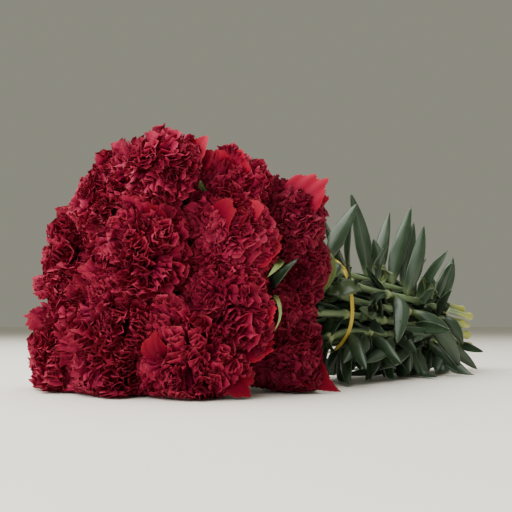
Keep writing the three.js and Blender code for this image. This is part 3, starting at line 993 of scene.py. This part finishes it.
# %% Grow the stalks
def line_object(name, lines, **values):
    """A mesh of loose lines for a tree to follow, with values kept on its points."""
    points = np.vstack(lines)
    edges = []
    start = 0
    for line in lines:
        edges += [(start + i, start + i + 1) for i in range(len(line) - 1)]
        start += len(line)
    mesh = bpy.data.meshes.new(name)
    mesh.from_pydata([tuple(p) for p in points], edges, [])
    for label, data in values.items():
        data = np.asarray(data, dtype=float)
        kind, field = ("FLOAT_VECTOR", "vector") if data.ndim == 2 else ("FLOAT", "value")
        mesh.attributes.new(label, kind, "POINT").data.foreach_set(field, data.ravel())
    piece = bpy.data.objects.new(name, mesh)
    scene.collection.objects.link(piece)
    return piece


STALK_FROM = CALYX_LENGTH - 2 * MM  # the stalk starts just inside the calyx
CUT_UNEVEN = 12 * MM
CUT_SEED = 11


FIRST_JOINTS = (30, 42, 54, 66, 78)  # mm from a calyx back to the first joint, one of these for each stem


def first_joint(flower):
    """From the mouth of the calyx to the first joint."""
    step = (flower["column"] * 2 + flower["row"] * 3) % len(FIRST_JOINTS)
    return CALYX_LENGTH + FIRST_JOINTS[step] * MM


def on_line(flower, along):
    """The point of a stem's line at this length from the mouth."""
    even = np.linspace(0, flower["length"], LINE_POINTS)
    return np.array([np.interp(along, even, flower["line"][:, i]) for i in range(3)])


stalks_tree = stalk_tree()
stem_green = stem_material()
cut_chance = np.random.default_rng(CUT_SEED)
for flower in flowers:
    number = flower["number"]
    end = flower["length"] - cut_chance.uniform(0, CUT_UNEVEN)
    path = [on_line(flower, along) for along in np.linspace(STALK_FROM, end, LINE_POINTS)]
    start = line_object(f"stalk_{number:02d}", [np.array(path) - np.array(ORIGIN)])
    stalk = grown(start.name, stalks_tree, stem_green, start,
                  **{"First Joint": first_joint(flower) - STALK_FROM, "Joint Spacing": JOINT_SPACING})
    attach(stalk, "root")
    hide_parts(f"stem_{number:02d}")
print("faces per stalk:", len(stalk.data.polygons))

# %% [markdown]
# ## Calyces
# The green cup under a carnation is a tube that widens towards five short teeth at its mouth, with four
# pointed scales pressed round its base. A cup could be spun from an outline, but then its rim would be
# even. Here cup and scales follow one rule with different numbers: a grid is wrapped round the axis, up
# the outside, over the toothed rim and down the inside, and its ends close at the axis, so each is a
# solid wall.

# %% The tree of the calyx
CALYX_SIZES = {
    "Cup Length": CALYX_LENGTH,
    "Cup Radius": 8.2 * MM,
    "Base Radius": 5.6 * MM,
    "Tooth Length": 6.5 * MM,
    "Scale Length": 7.5 * MM,
}
CUP_ROWS, CUP_SIDES = 18, 40
TURN_BACK = 1.45  # the rows run 1 part up the outside, over the rim, and 0.45 parts down the inside
INSIDE_FROM = 1.02


def cup(tree, teeth, start, rim, tooth, radius_at, wall):
    """A closed toothed cup round the Z axis. radius_at gives the outer radius at a height."""
    grid = add_node(tree, "GeometryNodeMeshGrid", {"Vertices X": CUP_SIDES + 1, "Vertices Y": CUP_ROWS})
    index = add_node(tree, "GeometryNodeInputIndex")
    around = (index / CUP_ROWS).op("FLOOR") / CUP_SIDES
    row = index % CUP_ROWS / (CUP_ROWS - 1)
    up = 1 - ((row * TURN_BACK - 1).op("ABSOLUTE"))  # 0 at the start of the outside, 1 at the rim
    inside = (row * TURN_BACK).op("GREATER_THAN", INSIDE_FROM)
    point = 1 - ((around * teeth).op("FRACT") * 2 - 1).op("ABSOLUTE")  # 1 at the tip of a tooth
    ends = row.op("GREATER_THAN", 0.001) * row.op("LESS_THAN", 0.999)  # 0 in the two rows on the axis
    height = between(start, rim + point ** 1.3 * tooth * ends, up)  # level on the axis, so that it closes
    radius = (radius_at(height) - inside * wall) * ends
    angle = around * math.tau
    place = join_xyz(tree, radius * cos(angle), radius * sin(angle), height)
    moved = add_node(tree, "GeometryNodeSetPosition", {"Geometry": grid, "Position": place})
    return stored(tree, moved, "rim", up)


CUP_TEETH, SCALES = 5, 4
CUP_WALL, SCALE_WALL = 0.5 * MM, 0.45 * MM
SCALE_OUT = 0.7 * MM  # how far the scales stand off the cup
CUP_RIM = -2.0 * MM  # where the notches between the teeth end, from the calyx's mouth
SCALES_FROM, SCALES_RIM = -1.0 * MM, 7.0 * MM  # from the cup's base
FLARE = 0.35  # the teeth lean out by this much of their length
NARROWEST, SWELL = 0.55, 0.42  # of the base radius, at the stalk; and the power with which a cup widens


def calyx_tree():
    tree, size = new_tree("carnation calyx", CALYX_SIZES)

    def cup_radius(height):
        share = (height / size["Cup Length"] + 1).op("MAXIMUM", 0.0)
        flare = (height.op("MAXIMUM", 0.0)) * FLARE
        return between(size["Base Radius"] * NARROWEST, size["Cup Radius"], (share + 0.02) ** SWELL) + flare

    def scale_radius(height):
        return cup_radius(height) + SCALE_OUT

    length = size["Cup Length"]
    tall = cup(tree, CUP_TEETH, -length, CUP_RIM, size["Tooth Length"], cup_radius, CUP_WALL)
    low = cup(tree, SCALES, -length + SCALES_FROM, -length + SCALES_RIM, size["Scale Length"], scale_radius,
              SCALE_WALL)
    both = tree.nodes.new("GeometryNodeJoinGeometry")
    for part in (tall, low):
        tree.links.new(part.socket, both.inputs[0])
    closed = add_node(tree, "GeometryNodeMergeByDistance",
                      {"Geometry": Field(tree, both.outputs[0]), "Distance": 0.02 * MM})
    end_tree(tree, closed, size["Material"])
    return tree


# %% Grow the calyces
def calyx_material():
    """Fresh green with soft blotches, paler at the rim, where the cup is thin."""
    material, tree, shader = new_material("calyx green", 0.5, 0.4, 0.2, (0.85, 0.95, 0.85))
    blotch = noise_on(tree, place_on_object(tree), 260)
    green = mixed(tree, blotch, (0.10, 0.17, 0.06), (0.19, 0.28, 0.11))
    color = mixed(tree, attribute(tree, "rim") ** 6.0 * 0.75, green, (0.45, 0.50, 0.24))
    tree.links.new(color.socket, shader.inputs["Base Color"])
    return material


calyces_tree = calyx_tree()
calyx_green = calyx_material()
CALYX_ROLL = 1.7
for flower in flowers:
    number = flower["number"]
    calyx = grown(f"calyx_{number:02d}", calyces_tree, calyx_green)
    place_at(calyx.data, mouth_of(flower) - ORIGIN, flower["face"], CALYX_ROLL * number)
    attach(calyx, "root")
print("faces per calyx:", len(calyx.data.polygons))

# %% [markdown]
# ## Leaves
# A carnation's leaf is a long, thick, grey-green blade with a channel down its middle and hardly any stalk:
# its foot clasps the stem. It bends outwards and its tip curls back. Each leaf follows its own curve, so one
# tree makes any number of them: it reads one curve for each leaf, with the way the upper side faces, the
# width and the depth of the channel kept on the curve, and wraps a flat loop of points along it. The loop's
# two halves are the upper and the lower side, so a leaf is a closed solid.

# %% The tree of the leaves
LEAF_SIZES = {
    "Half Loop": 8,
    "Rows": 26,
    "Thickness": 0.9 * MM,
    "Groove": 0.7 * MM,
    "Foot Radius": 4.2 * MM,
    "Wave": 0.14,
}
WIDEST_AT = 0.4  # of the length
CLASP_END = 0.16  # the foot clasps the stem up to here


def leaf_tree():
    tree, size = new_tree("carnation leaves", LEAF_SIZES)
    curves = add_node(tree, "GeometryNodeMeshToCurve", {"Mesh": size["Geometry"]})
    total = add_node(tree, "GeometryNodeAttributeDomainSize", {"Geometry": curves}, output=4,
                     component="CURVE")
    half, rows = size["Half Loop"], size["Rows"]
    columns = half * 2 + 1
    loop = add_node(tree, "GeometryNodeMeshGrid", {"Vertices X": columns, "Vertices Y": rows})
    loose = add_node(tree, "GeometryNodeRealizeInstances", {"Geometry": copies(tree, loop, total)})

    # Which leaf a vertex belongs to, how far along it lies, t, how far to the side, x from -1 to 1, and on
    # which of the two skins. The first row is drawn together to a point, and so is the tip.
    index = add_node(tree, "GeometryNodeInputIndex")
    number = (index / (columns * rows)).op("FLOOR")
    here = index % (columns * rows)
    column = (here / rows).op("FLOOR")
    row = here % rows
    t = ((row - 1) / (rows - 2)).op("MAXIMUM", 0.0)
    x = 1 - ((column / half * 2 - 2).op("ABSOLUTE"))
    upper = column.op("LESS_THAN", half) * 2 - 1
    edge = 1 - x * x

    def read(name, kind):
        """Samples the leaf's own curve where this vertex lies."""
        made = tree.nodes.new("GeometryNodeSampleCurve")
        made.data_type = kind
        made.mode = "FACTOR"
        made.use_all_curves = False
        for label, given in (("Curves", curves), ("Value", named(tree, name, kind)),
                             ("Factor", t.op("MINIMUM", 0.9999)), ("Curve Index", number)):
            feed(tree, made.inputs[label], given)
        return {output.name: Field(tree, output) for output in made.outputs if output.enabled}

    # The leaf's own directions: along it, up from its face, and to its side.
    spine = read("face", "FLOAT_VECTOR")
    tangent = vector_math("NORMALIZE", spine["Tangent"])
    lean = vector_math("DOT_PRODUCT", spine["Value"], tangent, output=1)
    normal = vector_math("NORMALIZE", vector_math("SUBTRACT", spine["Value"], scaled(tangent, lean)))
    side = vector_math("CROSS_PRODUCT", tangent, normal)
    wide = read("wide", "FLOAT")["Value"]
    fold = read("fold", "FLOAT")["Value"]

    # The outline: half its width at the foot, widest at two fifths, then to a long tip.
    foot = map_range(tree, t, 0.0, WIDEST_AT, smooth=True)
    outline = between(0.5, 1.0, foot) * (1 - (t ** 2.8).op("MINIMUM", 1.0)) ** 0.85
    width = wide * 0.5 * outline

    # The section: an arc as deep as the fold says, round the stem at the foot, with a channel down its
    # middle, a wavy edge, and the two skins apart by the thickness.
    clasp = map_range(tree, t, 0.0, CLASP_END, smooth=True)
    bend = between(width / size["Foot Radius"], fold, clasp) + 0.02
    solid = row.op("GREATER_THAN", 0.5)
    aside = sin(bend * x) * width / bend
    lift = (1 - cos(bend * x)) * width / bend
    channel = size["Groove"] * ((1 - x.op("ABSOLUTE")) ** 2.5) * outline
    wave = sin(t * (number % 5 + 9) + number * 2.4 + x) * x * x * size["Wave"] * width * clasp
    skin = upper * (edge.op("MAXIMUM", 0.0) ** 0.5) * outline * size["Thickness"] * 0.5
    place = summed(spine["Position"], scaled(side, aside * solid),
                   scaled(normal, (lift - channel + wave + skin) * solid))
    moved = add_node(tree, "GeometryNodeSetPosition", {"Geometry": loose, "Position": place})
    mapped = with_map(tree, moved, x * 0.5 + 0.5, t)
    closed = add_node(tree, "GeometryNodeMergeByDistance", {"Geometry": mapped, "Distance": 0.01 * MM})
    end_tree(tree, closed, size["Material"])
    return tree


# %% [markdown]
# ## Leaf green
# Dark green under a blue-grey bloom of wax that is thicker in some places, with fine parallel veins along
# the blade, a paler middle, a thin light margin that is partly the leaf's pale edge and partly a painted
# highlight along it, and a soft gloss.

# %% The leaves' material
def place_number(tree):
    """A slow wander over the whole bunch, so that no two leaves share their veins."""
    parts = tree.nodes.new("ShaderNodeSeparateXYZ")
    feed(tree, parts.inputs[0], place_on_object(tree))
    return (Field(tree, parts.outputs["X"]) + Field(tree, parts.outputs["Z"]) * 1.7) * 12.0


def leaf_material():
    material, tree, shader = new_material("leaf green", 0.37, 0.46, 0.04, (0.80, 0.92, 0.82), 0.6)
    across, along = blade_map(tree)
    bloom = noise_on(tree, place_on_object(tree), 60, 3)
    veins = noise_on(tree, join_xyz(tree, across * 46, along * 2, place_number(tree)), 1.0)
    green = mixed(tree, veins, (0.006, 0.020, 0.006), (0.020, 0.046, 0.018))
    green = mixed(tree, bloom * bloom, green, (0.044, 0.078, 0.042))
    middle = (across * 2 - 1).op("ABSOLUTE")
    rib = (-(middle / 0.045) ** 2.0).op("EXPONENT")
    green = mixed(tree, rib * 0.15, green, (0.14, 0.20, 0.10))
    # the light margin: partly the leaf's pale edge, partly a painted highlight along it
    rim = map_range(tree, middle, 0.93, 1.0)
    foot = map_range(tree, along, CLASP_END, 0.0)
    color = mixed(tree, rim * 0.6, green, (0.36, 0.44, 0.27))
    color = mixed(tree, foot * 0.5, color, (0.20, 0.27, 0.10))
    color = mixed(tree, attribute(tree, "young") * 0.8, color, (0.20, 0.26, 0.06))
    tree.links.new(color.socket, shader.inputs["Base Color"])
    bumped(tree, shader, veins, 0.25, 0.25 * MM)
    return material


# %% [markdown]
# ## The rubber band
# One flat rubber band holds the stems behind the heads. It was wound on by hand, so it leans a little along
# the bunch, wanders, and turns over once on its way round. A torus couldn't turn over: here a flat section
# with round edges is carried round an upright oval, and after its half turn it meets itself again.

# %% Rubber band
BAND_LEAN = math.radians(-15)
BAND_HALF_WIDE, BAND_HALF_HIGH = 40 * MM, 47 * MM  # of the oval
BAND_WIDE, BAND_FLAT = 4.4 * MM, 1.3 * MM  # of the section
BAND_POINTS, BAND_SIDES = 120, 12
BAND_ROUND = 0.6  # 1 would make the section an ellipse, 0 a rectangle
WANDER, WANDER_WAVES, BAND_SEED = 0.35 * MM, (2, 3, 5), 4
TURN_AT, TURN_SHARP = 2.35, 14  # the angle round the oval where it turns over, and how quickly it does
UP = np.array([0, 0, 1.0])


def band_points():
    """The section's points, ring by ring round the oval."""
    around = np.linspace(0, math.tau, BAND_POINTS, endpoint=False)
    chance = np.random.default_rng(BAND_SEED)
    wander = sum(chance.normal() * np.sin(around * wave + chance.uniform(0, 6)) for wave in WANDER_WAVES)
    along = -np.array([math.cos(BAND_LEAN), math.sin(BAND_LEAN), 0])
    level = np.array([-math.sin(BAND_LEAN), math.cos(BAND_LEAN), 0])
    center = np.array([BAND_AT, 0, BAND_HEIGHT])
    points = []
    for angle, shift in zip(around, wander * WANDER):
        out = level * math.cos(angle) * BAND_HALF_WIDE + UP * math.sin(angle) * BAND_HALF_HIGH
        normal = unit(level * math.cos(angle) / BAND_HALF_WIDE + UP * math.sin(angle) / BAND_HALF_HIGH)
        tilt = math.pi / (1 + math.exp(-(angle - TURN_AT) * TURN_SHARP))
        wide = along * math.cos(tilt) + normal * math.sin(tilt)
        flat = normal * math.cos(tilt) - along * math.sin(tilt)
        for side in np.linspace(0, math.tau, BAND_SIDES, endpoint=False):
            across, deep = math.cos(side), math.sin(side)
            across = math.copysign(abs(across) ** BAND_ROUND, across) * BAND_WIDE / 2
            deep = math.copysign(abs(deep) ** BAND_ROUND, deep) * BAND_FLAT / 2
            points.append(center + out + along * shift + wide * across + flat * deep)
    return np.array(points)


def band_faces():
    """The faces between the rings, closed on themselves."""
    faces = []
    for ring in range(BAND_POINTS):
        last = ring == BAND_POINTS - 1
        here, after = ring * BAND_SIDES, 0 if last else (ring + 1) * BAND_SIDES
        over = BAND_SIDES // 2 if last else 0  # after half a turn the section meets itself half way round
        for side in range(BAND_SIDES):
            far = (side + 1) % BAND_SIDES
            faces.append((here + side, after + (side + over) % BAND_SIDES,
                          after + (far + over) % BAND_SIDES, here + far))
    return faces


def band_material():
    """Amber rubber with a fine grain of talc."""
    material, tree, shader = new_material("rubber yellow", 0.55, 0.4)
    grain = noise_on(tree, place_on_object(tree), 900)
    color = mixed(tree, grain, (0.44, 0.31, 0.03), (0.60, 0.45, 0.07))
    tree.links.new(color.socket, shader.inputs["Base Color"])
    bumped(tree, shader, grain, 0.2, 0.1 * MM)
    return material


band = mesh_object("band", band_points() - np.array(ORIGIN), band_faces())
band.data.polygons.foreach_set("use_smooth", [True] * len(band.data.polygons))
band.data.materials.append(band_material())
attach(band, "root")
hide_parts("rubber_band")
print("band faces:", len(band.data.polygons))

# %% [markdown]
# ## The large outer leaves
# Eighteen large leaves stand where the solids have them. Each grows from a stem, so its place is given by
# the stem, by how far along the bunch it stands, and by angles: which way round the stem it points out and
# then hangs, how far it leans, and how much it curls. Angles and a length are easier to judge than points
# in space, and a leaf that is given this way can't come off its stem.

# %% Directions and curves
def side_way(degrees):
    """Out from the bundle: 0 is up, 90 towards the camera's side, 180 down."""
    return np.array([0, -math.sin(math.radians(degrees)), math.cos(math.radians(degrees))])


def reach_way(side, degrees):
    """From +X, 0, over the side direction, 90, to -X, 180."""
    return side * math.sin(math.radians(degrees)) + np.array([math.cos(math.radians(degrees)), 0, 0])


def at_x(flower, x):
    """The point of a stem's line that lies at this x."""
    line = flower["line"]
    return np.array([np.interp(x, line[:, 0], line[:, i]) for i in range(3)])


def bezier(control, count):
    """A smooth curve through its first and last control points."""
    points = [np.repeat(np.array(c)[None], count, axis=0) for c in control]
    t = np.linspace(0, 1, count)[:, None]
    while len(points) > 1:
        points = [a + (b - a) * t for a, b in zip(points, points[1:])]
    return points[0]


# %% The list of the large leaves
LEAVES = [  # column, row, x, out, hang, length, lean, curl, width, all in mm and degrees
    (1, 3, 268, 0, 355, 92, 92, 18, 15),
    (1, 3, 201, 21, -2, 79, 88, -45, 15),
    (2, 3, 302, 0, 352, 100, 80, -24, 14),
    (1, 3, 286, 20, 14, 52, 100, 32, 12),
    (1, 3, 316, 5, 4, 98, 78, -14, 16),
    (0, 3, 326, 30, 5, 82, 88, -8, 14),
    (1, 3, 342, 10, 8, 76, 90, -8, 15),
    (1, 3, 422, 7, -3, 71, 43, 12, 18),
    (0, 3, 382, 29, 61, 63, 113, 51, 14),
    (0, 3, 302, 100, 177, 81, 125, -5, 15),
    (0, 2, 335, 102, 182, 105, 88, -36, 17),
    (0, 2, 402, 91, 171, 50, 81, -8, 13),
    (0, 0, 410, 125, 160, 60, 46, -6, 12),
    (0, 0, 289, 124, 157, 93, 143, 23, 15),
    (0, 0, 329, 137, 157, 96, 146, 21, 15),
    (0, 1, 348, 100, 150, 54, 138, 14, 14),
    (0, 0, 228, 133, 155, 58, 143, 5, 12),
    (0, 3, 186, 80, 168, 48, 110, 24, 12),
]
print("large leaves in the list:", len(LEAVES))

# %% [markdown]
# ## From a list to leaves
# The tree wants a middle line for each leaf, the way its upper side faces, a width and a fold. The middle
# line is a curve with three control points: the foot, a point a third of the way along, where the leaf
# begins to hang or curl, and the tip. A line that would pass the table turns and runs along it.

# %% Large leaves
SPINE_POINTS = 14
LEAF_WIDEN = 1.3  # drawn wider than the solids, which look thin beside the real leaves
FOOT_OUT = 3.4 * MM  # from a stem's middle out to the foot of a leaf
BEND_SHARE = 0.35  # of the length, where the leaf begins to curl
LEAF_TWIST = math.radians(40)  # of an upright leaf, about its own line
LEAF_FOLD = 0.5
NO_LOWER = 0.9 * MM  # a leaf's lowest point stays this far above the table
LINE_FLOOR = NO_LOWER + 0.6 * MM  # and its middle line this far


def all_along(value):
    """The same value at each point of a leaf's line."""
    return np.repeat(np.array(value, dtype=float)[None], SPINE_POINTS, axis=0)


def leaf_lines(leaves):
    """Lines, faces, widths and folds for a list of leaves given by place and angles."""
    lines, faces, widths, folds = [], [], [], []
    for column, row, x, out, hang, length, lean, curl, wide in leaves:
        stem = flowers[column * len(COLUMNS[0]) + row]
        base = at_x(stem, x * MM) + side_way(out) * FOOT_OUT
        middle = base + reach_way(side_way(out), lean) * BEND_SHARE * length * MM
        tip = middle + reach_way(side_way(hang), lean + curl) * (1 - BEND_SHARE) * length * MM
        across = Vector(np.cross(side_way(hang), (1, 0, 0)))
        twist = LEAF_TWIST * side_way(hang)[2]
        turned = np.array(Quaternion(Vector(reach_way(side_way(hang), lean)), twist) @ across)
        lines.append(bezier((base, middle, tip), SPINE_POINTS))
        faces.append(all_along(np.cross(turned, unit(tip - base))))
        widths.append(all_along(wide * LEAF_WIDEN * MM))
        folds.append(all_along(LEAF_FOLD))
    return lines, faces, widths, folds


SINK_MOST = 0.6  # of the room that is left under a line, at each of its points
STEEPEST = 0.98
LIE_TOWARDS = np.array([-0.02, 0, 0])  # a leaf that hangs straight down lies towards the flowers


def rested(line):
    """A leaf's line that would pass the table turns and runs along it instead, and keeps its length."""
    step = np.linalg.norm(line[1] - line[0])
    points = [line[0]]
    for before, after in zip(line, line[1:]):
        way = unit(after - before)
        lowest = (LINE_FLOOR - points[-1][2]) / step * SINK_MOST
        if way[2] < lowest:
            low = min(max(lowest, -STEEPEST), STEEPEST)
            flat = unit(way * (1, 1, 0) + LIE_TOWARDS)
            way = flat * math.sqrt(1 - low * low) + UP * low
        points.append(points[-1] + way * np.linalg.norm(after - before))
    return np.array(points)


def grow_leaves(name, lines, faces, widths, folds, **sizes):
    """One piece with a leaf for each line."""
    start = line_object(name, [rested(line) - np.array(ORIGIN) for line in lines],
                        face=np.vstack(faces), wide=np.concatenate(widths), fold=np.concatenate(folds))
    piece = grown(name, leaves_tree, leaf_green, start, **sizes)
    set_points(piece.data, on_table(points_of(piece.data), NO_LOWER))
    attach(piece, "root")
    return piece


leaves_tree = leaf_tree()
leaf_green = leaf_material()
for number, leaf in enumerate(LEAVES, 1):
    piece = grow_leaves(f"large_leaf_{number:02d}", *leaf_lines([leaf]))
    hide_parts(f"leaf_{number:02d}")
print("large leaves:", len(LEAVES), "faces each:", len(piece.data.polygons))

# %% [markdown]
# ## The smaller leaves
# Every joint of every stem carries a pair of leaves, and each pair stands a quarter turn from the last.
# Young side shoots add a second, smaller pair. Leaves that point out of the bundle bend away from it;
# leaves between the stems lie along them. They are what fills the bundle, so they are grown from the same
# rule for all stems, with a fixed seed. A florist takes off the lowest leaves, so the cut ends are bare.

# %% Leaves that are taken off
ENDS_CLEAR_FROM = 440 * MM  # along the bunch: a smaller leaf whose tip reaches past here is off
STRIPPED = {"leaves_02": (0, 14), "leaves_beside": (0, 3)}  # a few more that are off, by their number


def stripped(name, lines, *others):
    """Without the leaves that hide the cut ends, and without the few more."""
    kept = [i for i, line in enumerate(lines)
            if line[-1][0] < ENDS_CLEAR_FROM and i not in STRIPPED.get(name, ())]
    return [[values[i] for i in kept] for values in (lines, *others)]


# %% Smaller leaves
SMALL_LEAF = {"Rows": 18, "Half Loop": 6}  # fewer faces than a large leaf has
PAIRS = ((0, 1), (math.pi, 1), (1.1, 0.62), (4.1, 0.62))  # round the stem, and the size: leaves and shoots
SMALL_FOOT_OUT = 3.2 * MM
SMALL_BEND_SHARE = 0.45
BARE_END = 25 * MM
FREE_AT, FREE_MOST = 30 * MM, 1.3  # from the bundle's axis to where a leaf is wholly free to bend out
SMALL_LENGTHS, SMALL_WIDTHS = (52, 84), (12, 17)  # in mm, from the least to the most
SMALL_FOLDS = (0.35, 0.8)
LEAST_LEAN, FREE_LEANS, FREE_CURLS = 12, (12, 58), (5, 45)  # degrees: of every leaf, and more of a free one
JOINT_BACK = 3 * MM  # leaves grow from the sheath, a little before the middle of their joint
LEAF_SEED = 23


def stem_direction(flower, along):
    """Towards the cut end."""
    return unit(on_line(flower, along + 2 * MM) - on_line(flower, along - 2 * MM))


def leaning(out, back, degrees):
    """From towards the flower, 0, to straight out from the stem, 90."""
    return out * math.sin(math.radians(degrees)) - back * math.cos(math.radians(degrees))


def facing_in(out, back, degrees):
    """Where the upper side of a leaf faces that leans like this."""
    return -out * math.cos(math.radians(degrees)) - back * math.sin(math.radians(degrees))


leaf_chance = np.random.default_rng(LEAF_SEED)
for flower in flowers:
    lines, faces, widths, folds = [], [], [], []
    along = first_joint(flower)
    quarter = flower["number"] * 0.9
    while along < flower["length"] - BARE_END:
        at = on_line(flower, along - JOINT_BACK)
        back = stem_direction(flower, along)
        axis = np.array([at[0], 0, axis_height(min(max(share_at(at[0]), 0), 1))])
        up = unit(UP - back * back[2])
        other = np.cross(back, up)
        for turn, small in PAIRS:
            angle = quarter + turn + leaf_chance.uniform(-0.4, 0.4)
            out = up * math.cos(angle) + other * math.sin(angle)
            free = max(min(float(out @ (at - axis)) / FREE_AT, FREE_MOST), 0)  # 0 where it points inwards
            length = leaf_chance.uniform(*SMALL_LENGTHS) * MM * small
            lean = LEAST_LEAN + free * leaf_chance.uniform(*FREE_LEANS)
            curl = free * leaf_chance.uniform(*FREE_CURLS)
            base = at + out * SMALL_FOOT_OUT
            middle = base + leaning(out, back, lean) * length * SMALL_BEND_SHARE
            tip = middle + leaning(out, back, lean + curl) * length * (1 - SMALL_BEND_SHARE)
            lines.append(bezier((base, middle, tip), SPINE_POINTS))
            face, last = facing_in(out, back, lean), facing_in(out, back, lean + curl)
            faces.append(face + (last - face) * np.linspace(0, 1, SPINE_POINTS)[:, None])
            widths.append(all_along(leaf_chance.uniform(*SMALL_WIDTHS) * MM * math.sqrt(small)))
            folds.append(all_along(leaf_chance.uniform(*SMALL_FOLDS)))
        along += JOINT_SPACING
        quarter += math.pi / 2
    name = f"leaves_{flower['number']:02d}"
    grow_leaves(name, *stripped(name, lines, faces, widths, folds), **SMALL_LEAF)
print("leaves on the last stem:", len(lines))

# %% [markdown]
# ## Leaves that lie round the bundle
# The heads hold the front of the bundle up, so its lowest stems don't reach the table: under them the
# leaves hang down and lie along it. On the sides, leaves lie close against the stems. Both groups use the
# same rule as the large leaves, with numbers drawn at random from a fixed seed. On the camera's side the
# leaves under the bundle point back towards the flowers, as most of the large ones there do.

# %% Leaves under and beside the bundle
AROUND_SEED = 31
UNDER_PLACES, BESIDE_PLACES = np.arange(208, 428, 20), np.arange(232, 400, 42)  # in mm, along the bunch
FAN_OUT = 20  # degrees from one column's leaves to the next one's
POINT_BACK = 28  # degrees more lean for the leaves on the camera's side
around = np.random.default_rng(AROUND_SEED)
under, beside = [], []
for column in range(len(COLUMNS)):
    for x in UNDER_PLACES + around.uniform(-8, 8):
        out = 180 - (2 - column) * FAN_OUT + around.uniform(-22, 22)
        row = int(around.integers(0, 2)) if column else 0
        hang = out + around.uniform(-25, 25)
        length = around.uniform(48, 78)
        lean = around.uniform(62, 128) + (POINT_BACK if column < 2 else 0)
        curl = around.uniform(-20, 20)
        under.append((column, row, x, out, hang, length, lean, curl, around.uniform(11, 14)))
for column, row in ((0, 0), (4, 0), (4, 1), (4, 2), (4, 3)):
    for x in BESIDE_PLACES + around.uniform(-20, 20):
        out = (90 if column == 0 else 270) + around.uniform(-35, 35)
        hang = out + around.uniform(-20, 20)
        length = around.uniform(48, 80)
        lean = around.choice([around.uniform(24, 44), around.uniform(130, 162)])
        curl = around.uniform(-10, 25)
        beside.append((column, row, x, out, hang, length, lean, curl, around.uniform(10, 13)))
for name, leaves in (("leaves_under", under), ("leaves_beside", beside)):
    piece = grow_leaves(name, *stripped(name, *leaf_lines(leaves)), **SMALL_LEAF)
    print(name, len(leaves), "faces:", len(piece.data.polygons))

# %% [markdown]
# ## Leaves that go their own way
# A few leaves reach forwards between the heads, two lie over the rubber band, and two curl up from the
# bundle's side. No rule places them, so each is given by points that its middle line passes, from its stem
# to its tip. A young leaf is paler than an old one, so how young it is goes to the material.

# %% Leaves between the heads and over the band
BETWEEN = [  # points from the stem to the tip, and the width, in mm; how young and light the leaf is
    (((112, -4, 114), (98, -26, 110), (86, -50, 105), (76, -58, 102), (65, -56, 92)), 12, 1.0),
    (((112, -4, 72), (99, -26, 82), (87, -45, 91), (87, -56, 100), (94, -64, 109)), 13, 0.0),
    (((160, -21, 103), (152, -33, 116), (157, -47, 116), (158, -50, 102), (145, -44, 78)), 8, 0.7),
    (((110, -5, 70), (94, -30, 78), (79, -54, 76), (75, -61, 62), (68, -60, 50)), 5, 1.0),
    (((118, 4, 156), (84, 14, 166), (50, 2, 166), (34, -12, 171)), 15, 0.3),
    (((184, -26, 86), (183, -38, 88), (189, -46, 91), (198, -48, 91), (207, -47, 87)), 20, 0.15),
    (((234, -27, 62), (228, -38, 63), (220, -45, 66), (212, -46, 69), (204, -45, 71)), 18, 0.15),
    (((353, -22, 83), (356, -30, 86), (354, -36, 93), (348, -37, 101), (341, -34, 109)), 16, 0.30),
    (((297, -12, 102), (292, -22, 108), (281, -29, 112), (267, -31, 114), (252, -30, 115)), 13, 0.35),
]
FLAT_FOLD = 0.4
curves = [spline([np.array(point) * MM for point in points], SPINE_POINTS)[0] for points, _, _ in BETWEEN]
piece = grow_leaves("leaves_between_heads", curves, [all_along(TOWARDS_LIGHT) for _ in BETWEEN],
                    [all_along(wide * MM) for _, wide, _ in BETWEEN],
                    [all_along(FLAT_FOLD) for _ in BETWEEN], **SMALL_LEAF)
per_leaf = len(piece.data.vertices) // len(BETWEEN)
keep_values(piece.data, "young", np.repeat([young for _, _, young in BETWEEN], per_leaf))
print("leaves that go their own way:", len(BETWEEN))
